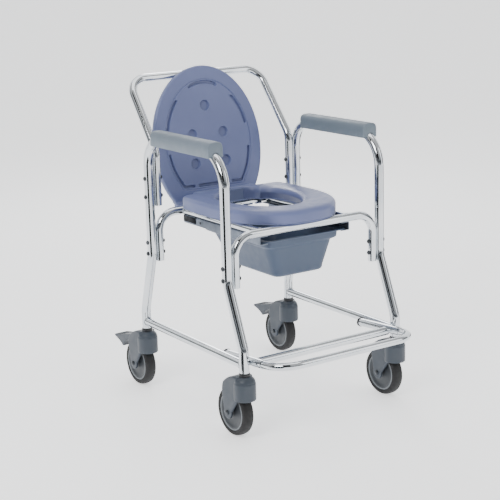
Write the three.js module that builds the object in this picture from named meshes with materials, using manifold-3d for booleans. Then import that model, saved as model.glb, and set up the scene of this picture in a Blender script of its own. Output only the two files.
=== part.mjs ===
// Commode chair on castors. Two bent-tube side frames carry two bolted seat arches, a bolted back bow,
// a hinged seat ring and lid, a pan on runners, a slide-out footrest and four swivel castors, the rear
// pair with brake pedals. Millimetres, +Z up, floor at Z = 0. The sitter faces -Y, and left is +X.

import * as THREE from 'three';
import { mergeVertices } from 'three/addons/utils/BufferGeometryUtils.js';
import Module from 'manifold-3d';

const wasm = await Module();
wasm.setup();

// ---------------------------------------------------------------- driving dimensions

const GAP = 0.3;                 // clearance between pieces that touch

const TRACK = 477;               // swivel axis to swivel axis, across
const WHEELBASE = 478;           // swivel axis to swivel axis, fore and aft
const POST_SPREAD = 366;         // front post to rear post, at seat height
const POST_MIDDLE_Y = 8;         // middle of the posts, behind the middle of the wheelbase
const SEAT_TUBE_Z = 494;         // centre of the seat arches' top tubes
const ARM_RISE = 206;            // arm tube centre above the seat tubes
const BACK_RISE = 139;           // top of the back bow above the arm tubes
const BACK_SETBACK = 140;        // top of the back bow behind the rear posts
const FOOT_Z = 172;              // lower end of the leg tubes

const LEG_R = 12.5;              // side frame tube
const BOW_R = 11;                // seat arches, back bow, lower rails and crossbar
const SEAT_RAIL_R = 10;
const FOOTREST_R = 9.5;
const WALL = 1.5;                // every tube's wall
const SIDES = 12;                // facets round a tube
const ROUND = 20;                // facets round a larger turned shape or bore
const BEND_STEP = 30;            // degrees of bend between two sections of a tube

const KNEE_DROP = 109;           // seat tubes down to where the legs start to splay
const ANKLE_RISE = 53;           // leg ends up to where they are vertical again
const KNEE_R = 60;
const FRONT_BEND_R = 86;
const REAR_BEND_R = 74;

const ARCH_DROP = 127;           // seat arch's lower ends below its top tube
const ARCH_BEND_R = 48;
const BOLT_UP = [23, 53];        // arch bolts above the arch's lower end
const BACK_FOOT_RISE = 23;       // back bow's lower ends above the seat tubes
const BACK_BOLT_UP = [26, 75];   // back bolts above the bow's lower end
const BACK_KNEE_RISE = 145;      // back bow's bend above its lower end
const BACK_KNEE_R = 55;
const BACK_CORNER_R = 52;
const BACK_TAPER = 4;            // the bow's top is this much narrower each side

const RAIL_INSET = 32;           // seat rails in from where the arches' bends start
const RUNNER_HEIGHT = 22;
const RUNNER_DEPTH = 24;
const RUNNER_WALL = 1.8;

const LOWER_RAIL_RISE = 19;      // lower rails and crossbar above the leg ends
const GUIDE_R = 11;              // footrest guide sleeves
const GUIDE_REAR = 108;          // sleeve's rear end behind the front swivel axes
const GUIDE_FRONT = 48;          // sleeve's front end before the front swivel axes
const GUIDE_RISE = 24;           // sleeve above the leg ends, at the front swivel axes
const GUIDE_SLOPE = 4.5;         // degrees that the sleeves and the footrest rise towards the front
const FOOTREST_REACH = 116;      // footrest bar before the front swivel axes
const FOOTREST_BEND_R = 64;
const FOOTREST_END = 12;         // footrest's ends before the sleeves' rear ends

const PAN_LENGTH = 320;
const PAN_DEPTH = 104;           // flange down to the base
const PAN_WALL = 2.5;
const PAN_LEDGE = 24;            // flange down to the ledge
const PAN_STEP = 12;             // ledge width
const PAN_DRAFT = 23;            // each wall comes in this much below the ledge

const SEAT_THICK = 36;
const SEAT_OVERHANG = 32;        // seat beyond the seat rails, each side
const SEAT_FRONT = 24;           // seat before the front posts
const SEAT_REAR = 26;            // seat's rear corners before the hinge
const HOLE_HALF_WIDTH = 101;
const HOLE_LENGTH = 262;
const HOLE_FRONT = 92;           // rim in front of the hole
const DISH = 15;                 // hole's edge below the seat's crown

const LID_THICK = 20;
const LID_RISE = 50;             // lid's underside above the hinge when closed
const LID_LENGTH = 373;
const LID_HALF_WIDTH = 172;
const LID_REAR_HALF = 130;
const LID_ARM = 28;              // width of each lid hinge arm
const LID_CLIP_ROOM = 1.7;       // between the clip at each arm's inner edge and the pan runner
const CLIP_WALL = 4;             // hinge clips round the seat arch tube
const DIMPLE_R = 14.5;           // round recesses in the lid's underside
const DIMPLE_DEPTH = 6;
const DIMPLE_TIP = 273;          // middle recess from the hinge
const DIMPLE_ROWS = [116, 196];  // paired recesses from the hinge
const DIMPLE_SIDE = 50;          // paired recesses from the lid's middle line

const PAD_WIDTH = 44;
const PAD_RISE = 24;             // pad's top above the arm tube's centre
const PAD_DROP = 14;             // pad's lower edges below the arm tube's centre
const PAD_FRONT = 34;            // pad's front end behind the front post
const PAD_REAR = 52;             // pad's rear end before the rear post

const WHEEL_D = 125;
const WHEEL_W = 30;
const TYRE = 13;                 // tyre's thickness
const AXLE_R = 4;
const TRAIL = 44;                // axle behind the swivel axis
const FORK_R = 28;               // hood round the swivel axis
const FORK_HALF = 25;            // half the width over the cheeks
const FORK_TOP = 163.5;
const SKIRT_Z = 103;             // lower edge of the hood's front
const WHEEL_ROOM = 3.5;          // free space round the tyre inside the fork
const PEDAL_REACH = 158;         // pedal's tip behind the swivel axis
const PEDAL_HALF = 21;           // half the pedal's width
const PEDAL_PRESS = 8;           // degrees from free to braked
const BARREL_R = 7.5;            // pedal's pivot barrel

// ---------------------------------------------------------------- places worked out from them

const legX = TRACK / 2;
const frontAxisY = -WHEELBASE / 2;
const rearAxisY = WHEELBASE / 2;
const frontPostY = POST_MIDDLE_Y - POST_SPREAD / 2;
const rearPostY = POST_MIDDLE_Y + POST_SPREAD / 2;
const kneeZ = SEAT_TUBE_Z - KNEE_DROP;
const ankleZ = FOOT_Z + ANKLE_RISE;
const armZ = SEAT_TUBE_Z + ARM_RISE;
const bowX = legX - LEG_R - GAP - BOW_R;
const archFootZ = SEAT_TUBE_Z - ARCH_DROP;
const backFootZ = SEAT_TUBE_Z + BACK_FOOT_RISE;
const backTop = { y: rearPostY + BACK_SETBACK, z: armZ + BACK_RISE };
const seatRailX = bowX - ARCH_BEND_R - RAIL_INSET;
const seatTubesHalf = Math.max(BOW_R, SEAT_RAIL_R);
const seatBottomZ = SEAT_TUBE_Z + seatTubesHalf + GAP;
const seatTopZ = seatBottomZ + SEAT_THICK;
const seatHalf = seatRailX + SEAT_OVERHANG;
const hinge = { y: rearPostY, z: SEAT_TUBE_Z };
const wheelR = WHEEL_D / 2;

// Lean of the raised lid, its back resting on the bow's top tube.
const lidRest = LID_RISE + LID_THICK + BOW_R + GAP;
const bowReach = Math.hypot(backTop.y - hinge.y, backTop.z - hinge.z);
const lidLean = Math.acos(lidRest / bowReach) - Math.atan2(backTop.z - hinge.z, backTop.y - hinge.y);

const PLASTIC = { roughness: 0.45, metalness: 0 };
const CHROME = { color: 0xd5d8da, roughness: 0.12, metalness: 1 };
const finishes = {
  chrome: CHROME,
  seat: { color: 0x7d86a6, ...PLASTIC },
  pan: { color: 0x66748c, ...PLASTIC },
  pad: { color: 0x76828c, ...PLASTIC },
  fork: { color: 0x596675, ...PLASTIC },
  wheel: { color: 0x6a737b, ...PLASTIC },
  tyre: { color: 0x1c1c1e, roughness: 0.8, metalness: 0 },
  black: { color: 0x141416, roughness: 0.5, metalness: 0 },
  runner: { color: 0x3a3d40, roughness: 0.4, metalness: 0.8 },
  bolt: { color: 0x55585c, roughness: 0.35, metalness: 1 },
};

// ---------------------------------------------------------------- helpers

// A run of tube through corner points, with a round bend at each inner corner.
class TubeRun extends THREE.Curve {
  constructor(corners, bendRadii) {
    super();
    this.stations = [{ point: corners[0], tangent: corners[1].clone().sub(corners[0]).normalize() }];
    for (let i = 1; i < corners.length - 1; i++) this.addBend(corners, i, bendRadii[i - 1]);
    const last = corners.length - 1;
    const tangent = corners[last].clone().sub(corners[last - 1]).normalize();
    this.stations.push({ point: corners[last], tangent });
  }

  addBend(corners, i, radius) {
    const before = corners[i].clone().sub(corners[i - 1]).normalize();
    const after = corners[i + 1].clone().sub(corners[i]).normalize();
    const turn = before.angleTo(after);
    const start = corners[i].clone().addScaledVector(before, -radius * Math.tan(turn / 2));
    const inward = after.clone().addScaledVector(before, -after.dot(before)).normalize();
    const steps = Math.max(1, Math.round(THREE.MathUtils.radToDeg(turn) / BEND_STEP));
    for (let k = 0; k <= steps; k++) {
      const angle = (turn * k) / steps;
      const point = start.clone()
        .addScaledVector(before, radius * Math.sin(angle))
        .addScaledVector(inward, radius * (1 - Math.cos(angle)));
      const tangent = before.clone().multiplyScalar(Math.cos(angle)).addScaledVector(inward, Math.sin(angle));
      this.stations.push({ point, tangent });
    }
  }

  get steps() {
    return this.stations.length - 1;
  }

  getUtoTmapping(u) {
    return u;
  }

  getPoint(t) {
    return this.stations[Math.round(t * this.steps)].point.clone();
  }

  getTangent(t) {
    return this.stations[Math.round(t * this.steps)].tangent.clone();
  }
}

const at = (x, y, z) => new THREE.Vector3(x, y, z);

function ring(outer, inner) {
  const shape = new THREE.Shape().absarc(0, 0, outer, 0, Math.PI * 2);
  shape.holes.push(new THREE.Path().absarc(0, 0, inner, 0, Math.PI * 2));
  return shape;
}

function sweep(section, corners, bendRadii) {
  const run = new TubeRun(corners, bendRadii);
  return new THREE.ExtrudeGeometry(section, { steps: run.steps, extrudePath: run, curveSegments: SIDES / 2 });
}

function tube(corners, bendRadii, radius, wall = WALL) {
  return sweep(ring(radius, radius - wall), corners, bendRadii);
}

// The room that a tube takes up, with clearance round it.
function tubeRoom(corners, bendRadii, radius) {
  const halves = [[0, Math.PI], [Math.PI, Math.PI * 2]];
  const disc = new THREE.Shape();
  for (const [from, to] of halves) disc.absarc(0, 0, radius + GAP, from, to);
  return sweep(disc, corners, bendRadii);
}

function toSolid(geometry) {
  const bare = geometry.clone();
  bare.deleteAttribute('normal');
  bare.deleteAttribute('uv');
  const merged = mergeVertices(bare, 1e-3);
  return new wasm.Manifold(new wasm.Mesh({
    numProp: 3,
    vertProperties: new Float32Array(merged.attributes.position.array),
    triVerts: new Uint32Array(merged.index.array),
  }));
}

function toGeometry(solid) {
  const mesh = solid.getMesh();
  const geometry = new THREE.BufferGeometry();
  geometry.setAttribute('position', new THREE.BufferAttribute(mesh.vertProperties, 3));
  geometry.setIndex(new THREE.BufferAttribute(mesh.triVerts, 1));
  return geometry;
}

function cut(geometry, ...tools) {
  return toGeometry(tools.reduce((solid, tool) => solid.subtract(toSolid(tool)), toSolid(geometry)));
}

function join(...geometries) {
  return toGeometry(geometries.map(toSolid).reduce((sum, solid) => sum.add(solid)));
}

// A round bar along an axis, centred on a point.
function bar(axis, radius, length, centre, sides = SIDES) {
  const geometry = new THREE.CylinderGeometry(radius, radius, length, sides);
  if (axis === 'x') geometry.rotateZ(Math.PI / 2);
  if (axis === 'z') geometry.rotateX(Math.PI / 2);
  return geometry.translate(centre.x, centre.y, centre.z);
}

// A profile drawn in the YZ plane, extruded along X and centred on x.
function plateX(shape, width, x, segments = 6) {
  const geometry = new THREE.ExtrudeGeometry(shape, {
    depth: width, bevelEnabled: false, curveSegments: segments,
  });
  const turn = new THREE.Matrix4().makeBasis(at(0, 1, 0), at(0, 0, 1), at(1, 0, 0));
  return geometry.applyMatrix4(turn).translate(x - width / 2, 0, 0);
}

// A solid turned about the Y axis from a profile of radii and heights.
function lathe(corners, segments) {
  return new THREE.LatheGeometry(corners.map(([r, h]) => new THREE.Vector2(r, h)), segments);
}

function polygon(...corners) {
  return new THREE.Shape(corners.map(([x, y]) => new THREE.Vector2(x, y)));
}

// A skin through rings of equal length. It is closed by flat ends, or onto its own first ring.
function loft(rings, closedLoop = false) {
  const count = rings[0].length;
  const positions = rings.flat().flatMap((p) => [p.x, p.y, p.z]);
  const index = [];
  const spans = closedLoop ? rings.length : rings.length - 1;
  for (let r = 0; r < spans; r++) {
    const next = (r + 1) % rings.length;
    for (let i = 0; i < count; i++) {
      const j = (i + 1) % count;
      const [a, b, c, d] = [r * count + i, r * count + j, next * count + j, next * count + i];
      index.push(a, b, c, a, c, d);
    }
  }
  if (!closedLoop) {
    const last = (rings.length - 1) * count;
    const flat = rings[0].map((p) => new THREE.Vector2(p.x, p.y));
    for (const [a, b, c] of THREE.ShapeUtils.triangulateShape(flat, [])) index.push(a, c, b);
    const end = rings[rings.length - 1].map((p) => new THREE.Vector2(p.x, p.y));
    for (const [a, b, c] of THREE.ShapeUtils.triangulateShape(end, [])) index.push(last + a, last + b, last + c);
  }
  const geometry = new THREE.BufferGeometry();
  geometry.setAttribute('position', new THREE.Float32BufferAttribute(positions, 3));
  geometry.setIndex(index);
  return geometry;
}

// A closed C-shaped hinge clip round the seat arch tube, open towards `mouth` degrees from +Y.
function clipShape(mouth, opening = 70) {
  const inner = BOW_R + GAP;
  const outer = inner + CLIP_WALL;
  const from = THREE.MathUtils.degToRad(mouth + opening / 2);
  const to = THREE.MathUtils.degToRad(mouth - opening / 2 + 360);
  const shape = new THREE.Shape();
  shape.absarc(0, 0, outer, from, to, false);
  shape.absarc(0, 0, inner, to, from, true);
  return shape;
}

function piece(name, geometry, finish) {
  const mesh = new THREE.Mesh(geometry, new THREE.MeshStandardMaterial(finishes[finish]));
  mesh.name = name;
  return mesh;
}

const sides = [{ name: 'left', sign: 1 }, { name: 'right', sign: -1 }];
const BOLT_HOLE_R = 3.3;
const BOLT_R = 3;
const BOLT_SIDES = 6;

// Heights of the cross bolts, through leg and arch or leg and bow.
const archBoltZ = BOLT_UP.map((up) => archFootZ + up);
const backBoltZ = BACK_BOLT_UP.map((up) => backFootZ + up);
const boltPlaces = [
  ...archBoltZ.map((z, i) => ({ name: `front_arch_bolt_${i + 1}`, y: frontPostY, z })),
  ...archBoltZ.map((z, i) => ({ name: `rear_arch_bolt_${i + 1}`, y: rearPostY, z })),
  ...backBoltZ.map((z, i) => ({ name: `back_bolt_${i + 1}`, y: rearPostY, z })),
];

function boltHoles(sign) {
  const span = 2 * (LEG_R + 2 * BOW_R + GAP) + 20;
  return boltPlaces.map(({ y, z }) => bar('x', BOLT_HOLE_R, span, at(sign * legX, y, z), BOLT_SIDES));
}

// ---------------------------------------------------------------- frame

function sideFrame({ name, sign }) {
  const x = sign * legX;
  const corners = [
    at(x, rearAxisY, FOOT_Z), at(x, rearAxisY, ankleZ), at(x, rearPostY, kneeZ), at(x, rearPostY, armZ),
    at(x, frontPostY, armZ), at(x, frontPostY, kneeZ), at(x, frontAxisY, ankleZ), at(x, frontAxisY, FOOT_Z),
  ];
  const bends = [KNEE_R, KNEE_R, REAR_BEND_R, FRONT_BEND_R, KNEE_R, KNEE_R];
  return piece(`side_frame_${name}`, cut(tube(corners, bends, LEG_R), ...boltHoles(sign)), 'chrome');
}

// A straight tube whose ends are coped to the round tubes that they are welded to.
function copedTube(name, from, to, radius, posts) {
  const body = tube([from, to], [], radius);
  return piece(name, cut(body, ...posts), 'chrome');
}

function lowerRail({ name, sign }) {
  const x = sign * legX;
  const z = FOOT_Z + LOWER_RAIL_RISE;
  const posts = [frontAxisY, rearAxisY].map((y) => bar('z', LEG_R + GAP, 4 * BOW_R, at(x, y, z), ROUND));
  return copedTube(`lower_rail_${name}`, at(x, frontAxisY + 4, z), at(x, rearAxisY - 4, z), BOW_R, posts);
}

const guideX = legX - LEG_R - GAP - GUIDE_R;
const guideRearY = frontAxisY + GUIDE_REAR;
const guideFrontY = frontAxisY - GUIDE_FRONT;
const guideTilt = THREE.MathUtils.degToRad(GUIDE_SLOPE);

// A point on the sloping axis of a sleeve, which the footrest's arm shares.
const onGuide = (sign, y) => at(sign * guideX, y, FOOT_Z + GUIDE_RISE + (frontAxisY - y) * Math.tan(guideTilt));

function crossbar() {
  const z = FOOT_Z + LOWER_RAIL_RISE;
  const posts = sides.map(({ sign }) => (
    tubeRoom([onGuide(sign, guideRearY), onGuide(sign, guideFrontY)], [], GUIDE_R)));
  return copedTube('front_crossbar', at(-guideX + 3, frontAxisY, z), at(guideX - 3, frontAxisY, z), BOW_R, posts);
}

function footrestGuide({ name, sign }) {
  const ends = [onGuide(sign, guideRearY), onGuide(sign, guideFrontY)];
  return piece(`footrest_guide_${name}`, tube(ends, [], GUIDE_R, GUIDE_R - FOOTREST_R - GAP), 'chrome');
}

function guidePlug({ name, sign }) {
  const boreR = FOOTREST_R + GAP;
  const geometry = lathe([[0, -8], [boreR - GAP, -8], [boreR - GAP, GAP], [GUIDE_R + 1.2, GAP],
    [GUIDE_R + 1.2, 7], [8, 10], [0, 10]], SIDES);
  const mesh = piece(`guide_plug_${name}`, geometry, 'black');
  mesh.position.copy(onGuide(sign, guideRearY));
  mesh.rotation.x = -guideTilt;
  return mesh;
}

function footrest() {
  const y = frontAxisY - FOOTREST_REACH;
  const endY = guideRearY - FOOTREST_END;
  const corners = [onGuide(-1, endY), onGuide(-1, y), onGuide(1, y), onGuide(1, endY)];
  return piece('footrest', tube(corners, [FOOTREST_BEND_R, FOOTREST_BEND_R], FOOTREST_R), 'chrome');
}

function seatArch(name, y) {
  const corners = [
    at(-bowX, y, archFootZ), at(-bowX, y, SEAT_TUBE_Z), at(bowX, y, SEAT_TUBE_Z), at(bowX, y, archFootZ),
  ];
  const body = tube(corners, [ARCH_BEND_R, ARCH_BEND_R], BOW_R);
  const holes = [-1, 1].flatMap((sign) => boltHoles(sign).filter((_, i) => i < 4));
  return piece(name, cut(body, ...holes), 'chrome');
}

function backBow() {
  const kneeHeight = backFootZ + BACK_KNEE_RISE;
  const topX = bowX - BACK_TAPER;
  const corners = [
    at(-bowX, rearPostY, backFootZ), at(-bowX, rearPostY, kneeHeight), at(-topX, backTop.y, backTop.z),
    at(topX, backTop.y, backTop.z), at(bowX, rearPostY, kneeHeight), at(bowX, rearPostY, backFootZ),
  ];
  const body = tube(corners, [BACK_KNEE_R, BACK_CORNER_R, BACK_CORNER_R, BACK_KNEE_R], BOW_R);
  const holes = [-1, 1].flatMap((sign) => boltHoles(sign).slice(4));
  return piece('back_bow', cut(body, ...holes), 'chrome');
}

function seatRail({ name, sign }) {
  const x = sign * seatRailX;
  const posts = [frontPostY, rearPostY].map((y) => (
    bar('x', BOW_R + GAP, 4 * BOW_R, at(x, y, SEAT_TUBE_Z), ROUND)));
  const from = at(x, frontPostY + 4, SEAT_TUBE_Z);
  const to = at(x, rearPostY - 4, SEAT_TUBE_Z);
  return copedTube(`seat_rail_${name}`, from, to, SEAT_RAIL_R, posts);
}

const runnerTopZ = SEAT_TUBE_Z - seatTubesHalf - GAP;
const runnerOuterX = seatRailX + 5;
const runnerInnerX = runnerOuterX - RUNNER_DEPTH;

// A channel hung under both arches, its mouth towards the pan.
function panRunner({ name, sign }) {
  const bottom = runnerTopZ - RUNNER_HEIGHT;
  const web = runnerOuterX - RUNNER_WALL;
  const shape = polygon(
    [runnerInnerX, bottom], [runnerOuterX, bottom], [runnerOuterX, runnerTopZ], [runnerInnerX, runnerTopZ],
    [runnerInnerX, runnerTopZ - RUNNER_WALL], [web, runnerTopZ - RUNNER_WALL],
    [web, bottom + RUNNER_WALL], [runnerInnerX, bottom + RUNNER_WALL],
  );
  const length = POST_SPREAD - 6;
  const geometry = new THREE.ExtrudeGeometry(shape, { depth: length, bevelEnabled: false });
  geometry.rotateX(Math.PI / 2).translate(0, rearPostY - 5, 0);
  const solid = sign > 0 ? geometry : toGeometry(toSolid(geometry).mirror([1, 0, 0]));
  return piece(`pan_runner_${name}`, solid, 'runner');
}

function bolt({ name, y, z }, side) {
  const outer = LEG_R + 0.6;
  const inner = LEG_R + GAP + 2 * BOW_R + 0.6;
  const headR = 6;
  const geometry = lathe([
    [0, -inner - 6], [3.5, -inner - 5], [headR, -inner - 1.5], [headR, -inner], [BOLT_R, -inner],
    [BOLT_R, outer], [headR, outer], [headR, outer + 1.5], [3.5, outer + 4.5], [0, outer + 5],
  ], BOLT_SIDES).rotateZ(-Math.PI / 2);
  if (side.sign < 0) geometry.rotateY(Math.PI);
  const mesh = piece(`${name}_${side.name}`, geometry, 'bolt');
  mesh.position.set(side.sign * legX, y, z);
  return mesh;
}

// ---------------------------------------------------------------- pan, seat, lid and arm pads

function roundedRectangle(halfX, fromY, toY, radius, z, perCorner = 4) {
  const points = [];
  const corners = [
    [halfX - radius, fromY + radius, -90], [halfX - radius, toY - radius, 0],
    [-halfX + radius, toY - radius, 90], [-halfX + radius, fromY + radius, 180],
  ];
  for (const [cx, cy, start] of corners) {
    for (let k = 0; k < perCorner; k++) {
      const angle = THREE.MathUtils.degToRad(start + (90 * k) / (perCorner - 1));
      points.push(at(cx + radius * Math.cos(angle), cy + radius * Math.sin(angle), z));
    }
  }
  return points;
}

const panFlangeZ = runnerTopZ - RUNNER_HEIGHT + RUNNER_WALL + GAP;
const panFlangeT = 3;
const panFlangeHalf = runnerOuterX - RUNNER_WALL - 2;
const panFrontY = frontPostY + 1;

function pan() {
  const bodyHalf = runnerInnerX - 2;
  const frontY = panFrontY;
  const rearY = frontY + PAN_LENGTH;
  const top = panFlangeZ + panFlangeT;
  const ledgeZ = top - PAN_LEDGE;
  const baseZ = top - PAN_DEPTH;
  const wall = (inset, frontIn, rearIn, radius, z) => (
    roundedRectangle(bodyHalf - inset, frontY + frontIn, rearY - rearIn, radius, z));
  const out = PAN_STEP;
  const low = out + PAN_DRAFT;
  const flange = (z) => roundedRectangle(panFlangeHalf, frontY, rearY, 22, z);
  const rings = [
    wall(low + 12, low * 0.6 + 12, 2 * low + 12, 14, baseZ),
    wall(low, low * 0.6, 2 * low, 24, baseZ + 12),
    wall(out, out, 3 * out, 28, ledgeZ),
    wall(2, 4, 6, 22, ledgeZ + 6),
    wall(0, 3, 4, 22, panFlangeZ),
    flange(panFlangeZ),
    flange(top),
    wall(PAN_WALL, 3 + PAN_WALL, 4 + PAN_WALL, 20, top),
    wall(PAN_WALL + 2, 4 + PAN_WALL, 6 + PAN_WALL, 20, ledgeZ + 6 + PAN_WALL),
    wall(PAN_WALL + out, out + PAN_WALL, 3 * out + PAN_WALL, 26, ledgeZ + PAN_WALL),
    wall(PAN_WALL + low, low * 0.6 + PAN_WALL, 2 * low + PAN_WALL, 22, baseZ + 12),
    wall(low + 12, low * 0.6 + 12, 2 * low + 12, 14, baseZ + PAN_WALL),
  ];
  return piece('pan', loft(rings), 'pan');
}

// Half outline of an egg shape, from the rear middle to the front tip, as a closed symmetric loop.
function eggLoop(half, rearHalf, rearY, frontY, corner, fullness, count) {
  const widestY = rearY + (frontY - rearY) * 0.42;
  const bulge = 0.5523 + fullness;
  const shape = new THREE.Shape();
  shape.moveTo(0, rearY);
  shape.lineTo(rearHalf - corner, rearY);
  shape.quadraticCurveTo(rearHalf, rearY, rearHalf + corner * 0.15, rearY - corner);
  shape.bezierCurveTo(
    rearHalf + (half - rearHalf) * 0.6, rearY + (widestY - rearY) * 0.3,
    half, rearY + (widestY - rearY) * 0.6, half, widestY);
  shape.bezierCurveTo(half, widestY + (frontY - widestY) * bulge, half * bulge, frontY, 0, frontY);
  const side = shape.getSpacedPoints(count / 2);
  const other = side.slice(1, -1).reverse().map((p) => new THREE.Vector2(-p.x, p.y));
  return [...side, ...other].reverse();
}

// The seat's middle tab lies between the lid's two hinge arms.
const lidArmX = LID_REAR_HALF - 5 - LID_ARM / 2;
const tabHalf = lidArmX - LID_ARM / 2 - 4;
const lidClip = runnerInnerX - LID_CLIP_ROOM - (lidArmX - LID_ARM / 2);

const seatLoop = () => eggLoop(
  seatHalf, seatHalf - 9, rearPostY - SEAT_REAR, frontPostY - SEAT_FRONT, 14, 0.06, 40);
const holeLoop = () => {
  const frontY = frontPostY - SEAT_FRONT + HOLE_FRONT;
  return eggLoop(HOLE_HALF_WIDTH, HOLE_HALF_WIDTH * 0.55, frontY + HOLE_LENGTH, frontY, 40, 0, 48);
};

// Where a loop is crossed by the line from a middle point out through another point.
function crossing(loop, middle, through) {
  const ray = through.clone().sub(middle);
  for (let i = 0; i < loop.length; i++) {
    const start = loop[i].clone().sub(middle);
    const edge = loop[(i + 1) % loop.length].clone().sub(loop[i]);
    const turn = ray.cross(edge);
    const reach = start.cross(edge) / turn;
    const share = start.cross(ray) / turn;
    if (reach > 0 && share >= 0 && share <= 1) return middle.clone().addScaledVector(ray, reach);
  }
  throw new Error('the loop does not go round its middle');
}

function seatRing() {
  const outer = seatLoop();
  const hole = holeLoop();
  const holeMiddle = new THREE.Vector2(0, frontPostY - SEAT_FRONT + HOLE_FRONT + HOLE_LENGTH / 2);
  const inner = outer.map((p) => crossing(hole, holeMiddle, p));
  const between = (t, z) => outer.map((p, i) => (
    at(p.x + (inner[i].x - p.x) * t, p.y + (inner[i].y - p.y) * t, z)));
  const rings = [
    between(0.06, seatBottomZ), between(0, seatBottomZ + 8), between(0, seatTopZ - 12),
    between(0.12, seatTopZ - 1.5), between(0.4, seatTopZ), between(0.8, seatTopZ - DISH / 4),
    between(1, seatTopZ - DISH), between(0.96, seatBottomZ + 3),
  ];
  const body = loft(rings, true);
  const tab = plateX(polygon(
    [rearPostY - SEAT_REAR - 12, seatBottomZ + 1], [hinge.y + 22, seatBottomZ + 1],
    [hinge.y + 24, seatBottomZ + 12], [hinge.y + 19, seatTopZ - 8], [rearPostY - SEAT_REAR - 12, seatTopZ - 4],
  ), 2 * tabHalf, 0);
  const clips = sides.map(({ sign }) => (
    plateX(clipShape(-135), 30, sign * (tabHalf - 25), 6).translate(0, hinge.y, hinge.z)));
  const hingeRoom = bar('x', BOW_R + GAP, 4 * tabHalf, at(0, hinge.y, hinge.z), ROUND);
  return piece('seat_ring', cut(join(body, tab, ...clips), hingeRoom), 'seat');
}

function lidDimples() {
  const pairs = sides.flatMap(({ sign }) => DIMPLE_ROWS.map((back) => [sign * DIMPLE_SIDE, back]));
  return [[0, DIMPLE_TIP], ...pairs].map(([x, back]) => bar('z', DIMPLE_R, 2 * DIMPLE_DEPTH, at(x, -back, LID_RISE)));
}

// The lid is drawn closed with its hinge at the origin, then raised to its lean.
function lid() {
  const loopAt = (inset, z) => eggLoop(
    LID_HALF_WIDTH - inset, LID_REAR_HALF - inset, -10 - inset, -10 - LID_LENGTH + inset, 14, 0, 32)
    .map((p) => at(p.x, p.y, z));
  const rings = [
    loopAt(4, LID_RISE), loopAt(0, LID_RISE + 5), loopAt(0, LID_RISE + LID_THICK - 8),
    loopAt(5, LID_RISE + LID_THICK - 1.5), loopAt(16, LID_RISE + LID_THICK),
  ];
  const parts = [loft(rings)];
  for (const { sign } of sides) {
    const x = sign * lidArmX;
    parts.push(plateX(clipShape(-60), lidClip, x - (sign * (LID_ARM - lidClip)) / 2, 6));
    parts.push(plateX(polygon(
      [-12, BOW_R + 1], [12, BOW_R + 1], [12, LID_RISE + 4], [6, LID_RISE + LID_THICK - 4],
      [-24, LID_RISE + LID_THICK - 2], [-24, LID_RISE + 1], [-12, LID_RISE - 6],
    ), LID_ARM, x));
  }
  const hingeRoom = bar('x', BOW_R + GAP, 4 * LID_REAR_HALF, at(0, 0, 0), ROUND);
  const mesh = piece('lid', cut(join(...parts), hingeRoom, ...lidDimples()), 'seat');
  mesh.rotation.x = -(Math.PI / 2 + lidLean);
  mesh.position.set(0, hinge.y, hinge.z);
  return mesh;
}

// A moulding that straddles the arm tube. Its ends close over the tube where the tube bends down.
function armPad({ name, sign }) {
  const x = sign * legX;
  const half = PAD_WIDTH / 2;
  const shape = new THREE.Shape();
  shape.moveTo(-half, -PAD_DROP);
  shape.lineTo(half, -PAD_DROP);
  shape.lineTo(half, PAD_RISE - 14);
  shape.bezierCurveTo(half, PAD_RISE - 4, half - 8, PAD_RISE, 0, PAD_RISE);
  shape.bezierCurveTo(-half + 8, PAD_RISE, -half, PAD_RISE - 4, -half, PAD_RISE - 14);
  const fromY = frontPostY + PAD_FRONT;
  const toY = rearPostY - PAD_REAR;
  const body = new THREE.ExtrudeGeometry(shape, { depth: toY - fromY, bevelEnabled: false, curveSegments: 5 });
  body.rotateX(Math.PI / 2).translate(x, toY, armZ);
  const corners = [at(x, rearPostY, kneeZ), at(x, rearPostY, armZ), at(x, frontPostY, armZ), at(x, frontPostY, kneeZ)];
  const bends = [REAR_BEND_R, FRONT_BEND_R];
  const centreLine = new TubeRun(corners, bends).stations.map(({ point }) => [point.y, point.z]);
  const slot = plateX(polygon(...centreLine), 2 * (LEG_R + GAP), x);
  return piece(`arm_pad_${name}`, cut(body, tubeRoom(corners, bends, LEG_R), slot), 'pad');
}

function padScrew({ name, sign }, number, y) {
  const headZ = -LEG_R - 2.5;
  const corners = [[0, headZ], [3.5, headZ], [3.5, -LEG_R - GAP], [0, -LEG_R - GAP]];
  const geometry = lathe(corners, BOLT_SIDES).rotateX(Math.PI / 2);
  const mesh = piece(`pad_screw_${number}_${name}`, geometry, 'bolt');
  mesh.position.set(sign * legX, y, armZ);
  return mesh;
}

// ---------------------------------------------------------------- castors

const axleY = TRAIL;
const axleZ = wheelR;
const STEM_R = LEG_R - WALL - GAP;
const PIN_R = 5;
const PIN_FOOT = 138;

function castorStem() {
  const profile = [
    [0, PIN_FOOT], [PIN_R, PIN_FOOT], [PIN_R, FORK_TOP + GAP], [LEG_R + 1.5, FORK_TOP + GAP],
    [LEG_R + 1.5, FOOT_Z - GAP], [STEM_R, FOOT_Z - GAP], [STEM_R, FOOT_Z + 40], [0, FOOT_Z + 40],
  ];
  return lathe(profile, SIDES).rotateX(Math.PI / 2);
}

const pedalPivot = { y: 60, z: FORK_TOP - 27.5 };

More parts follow.
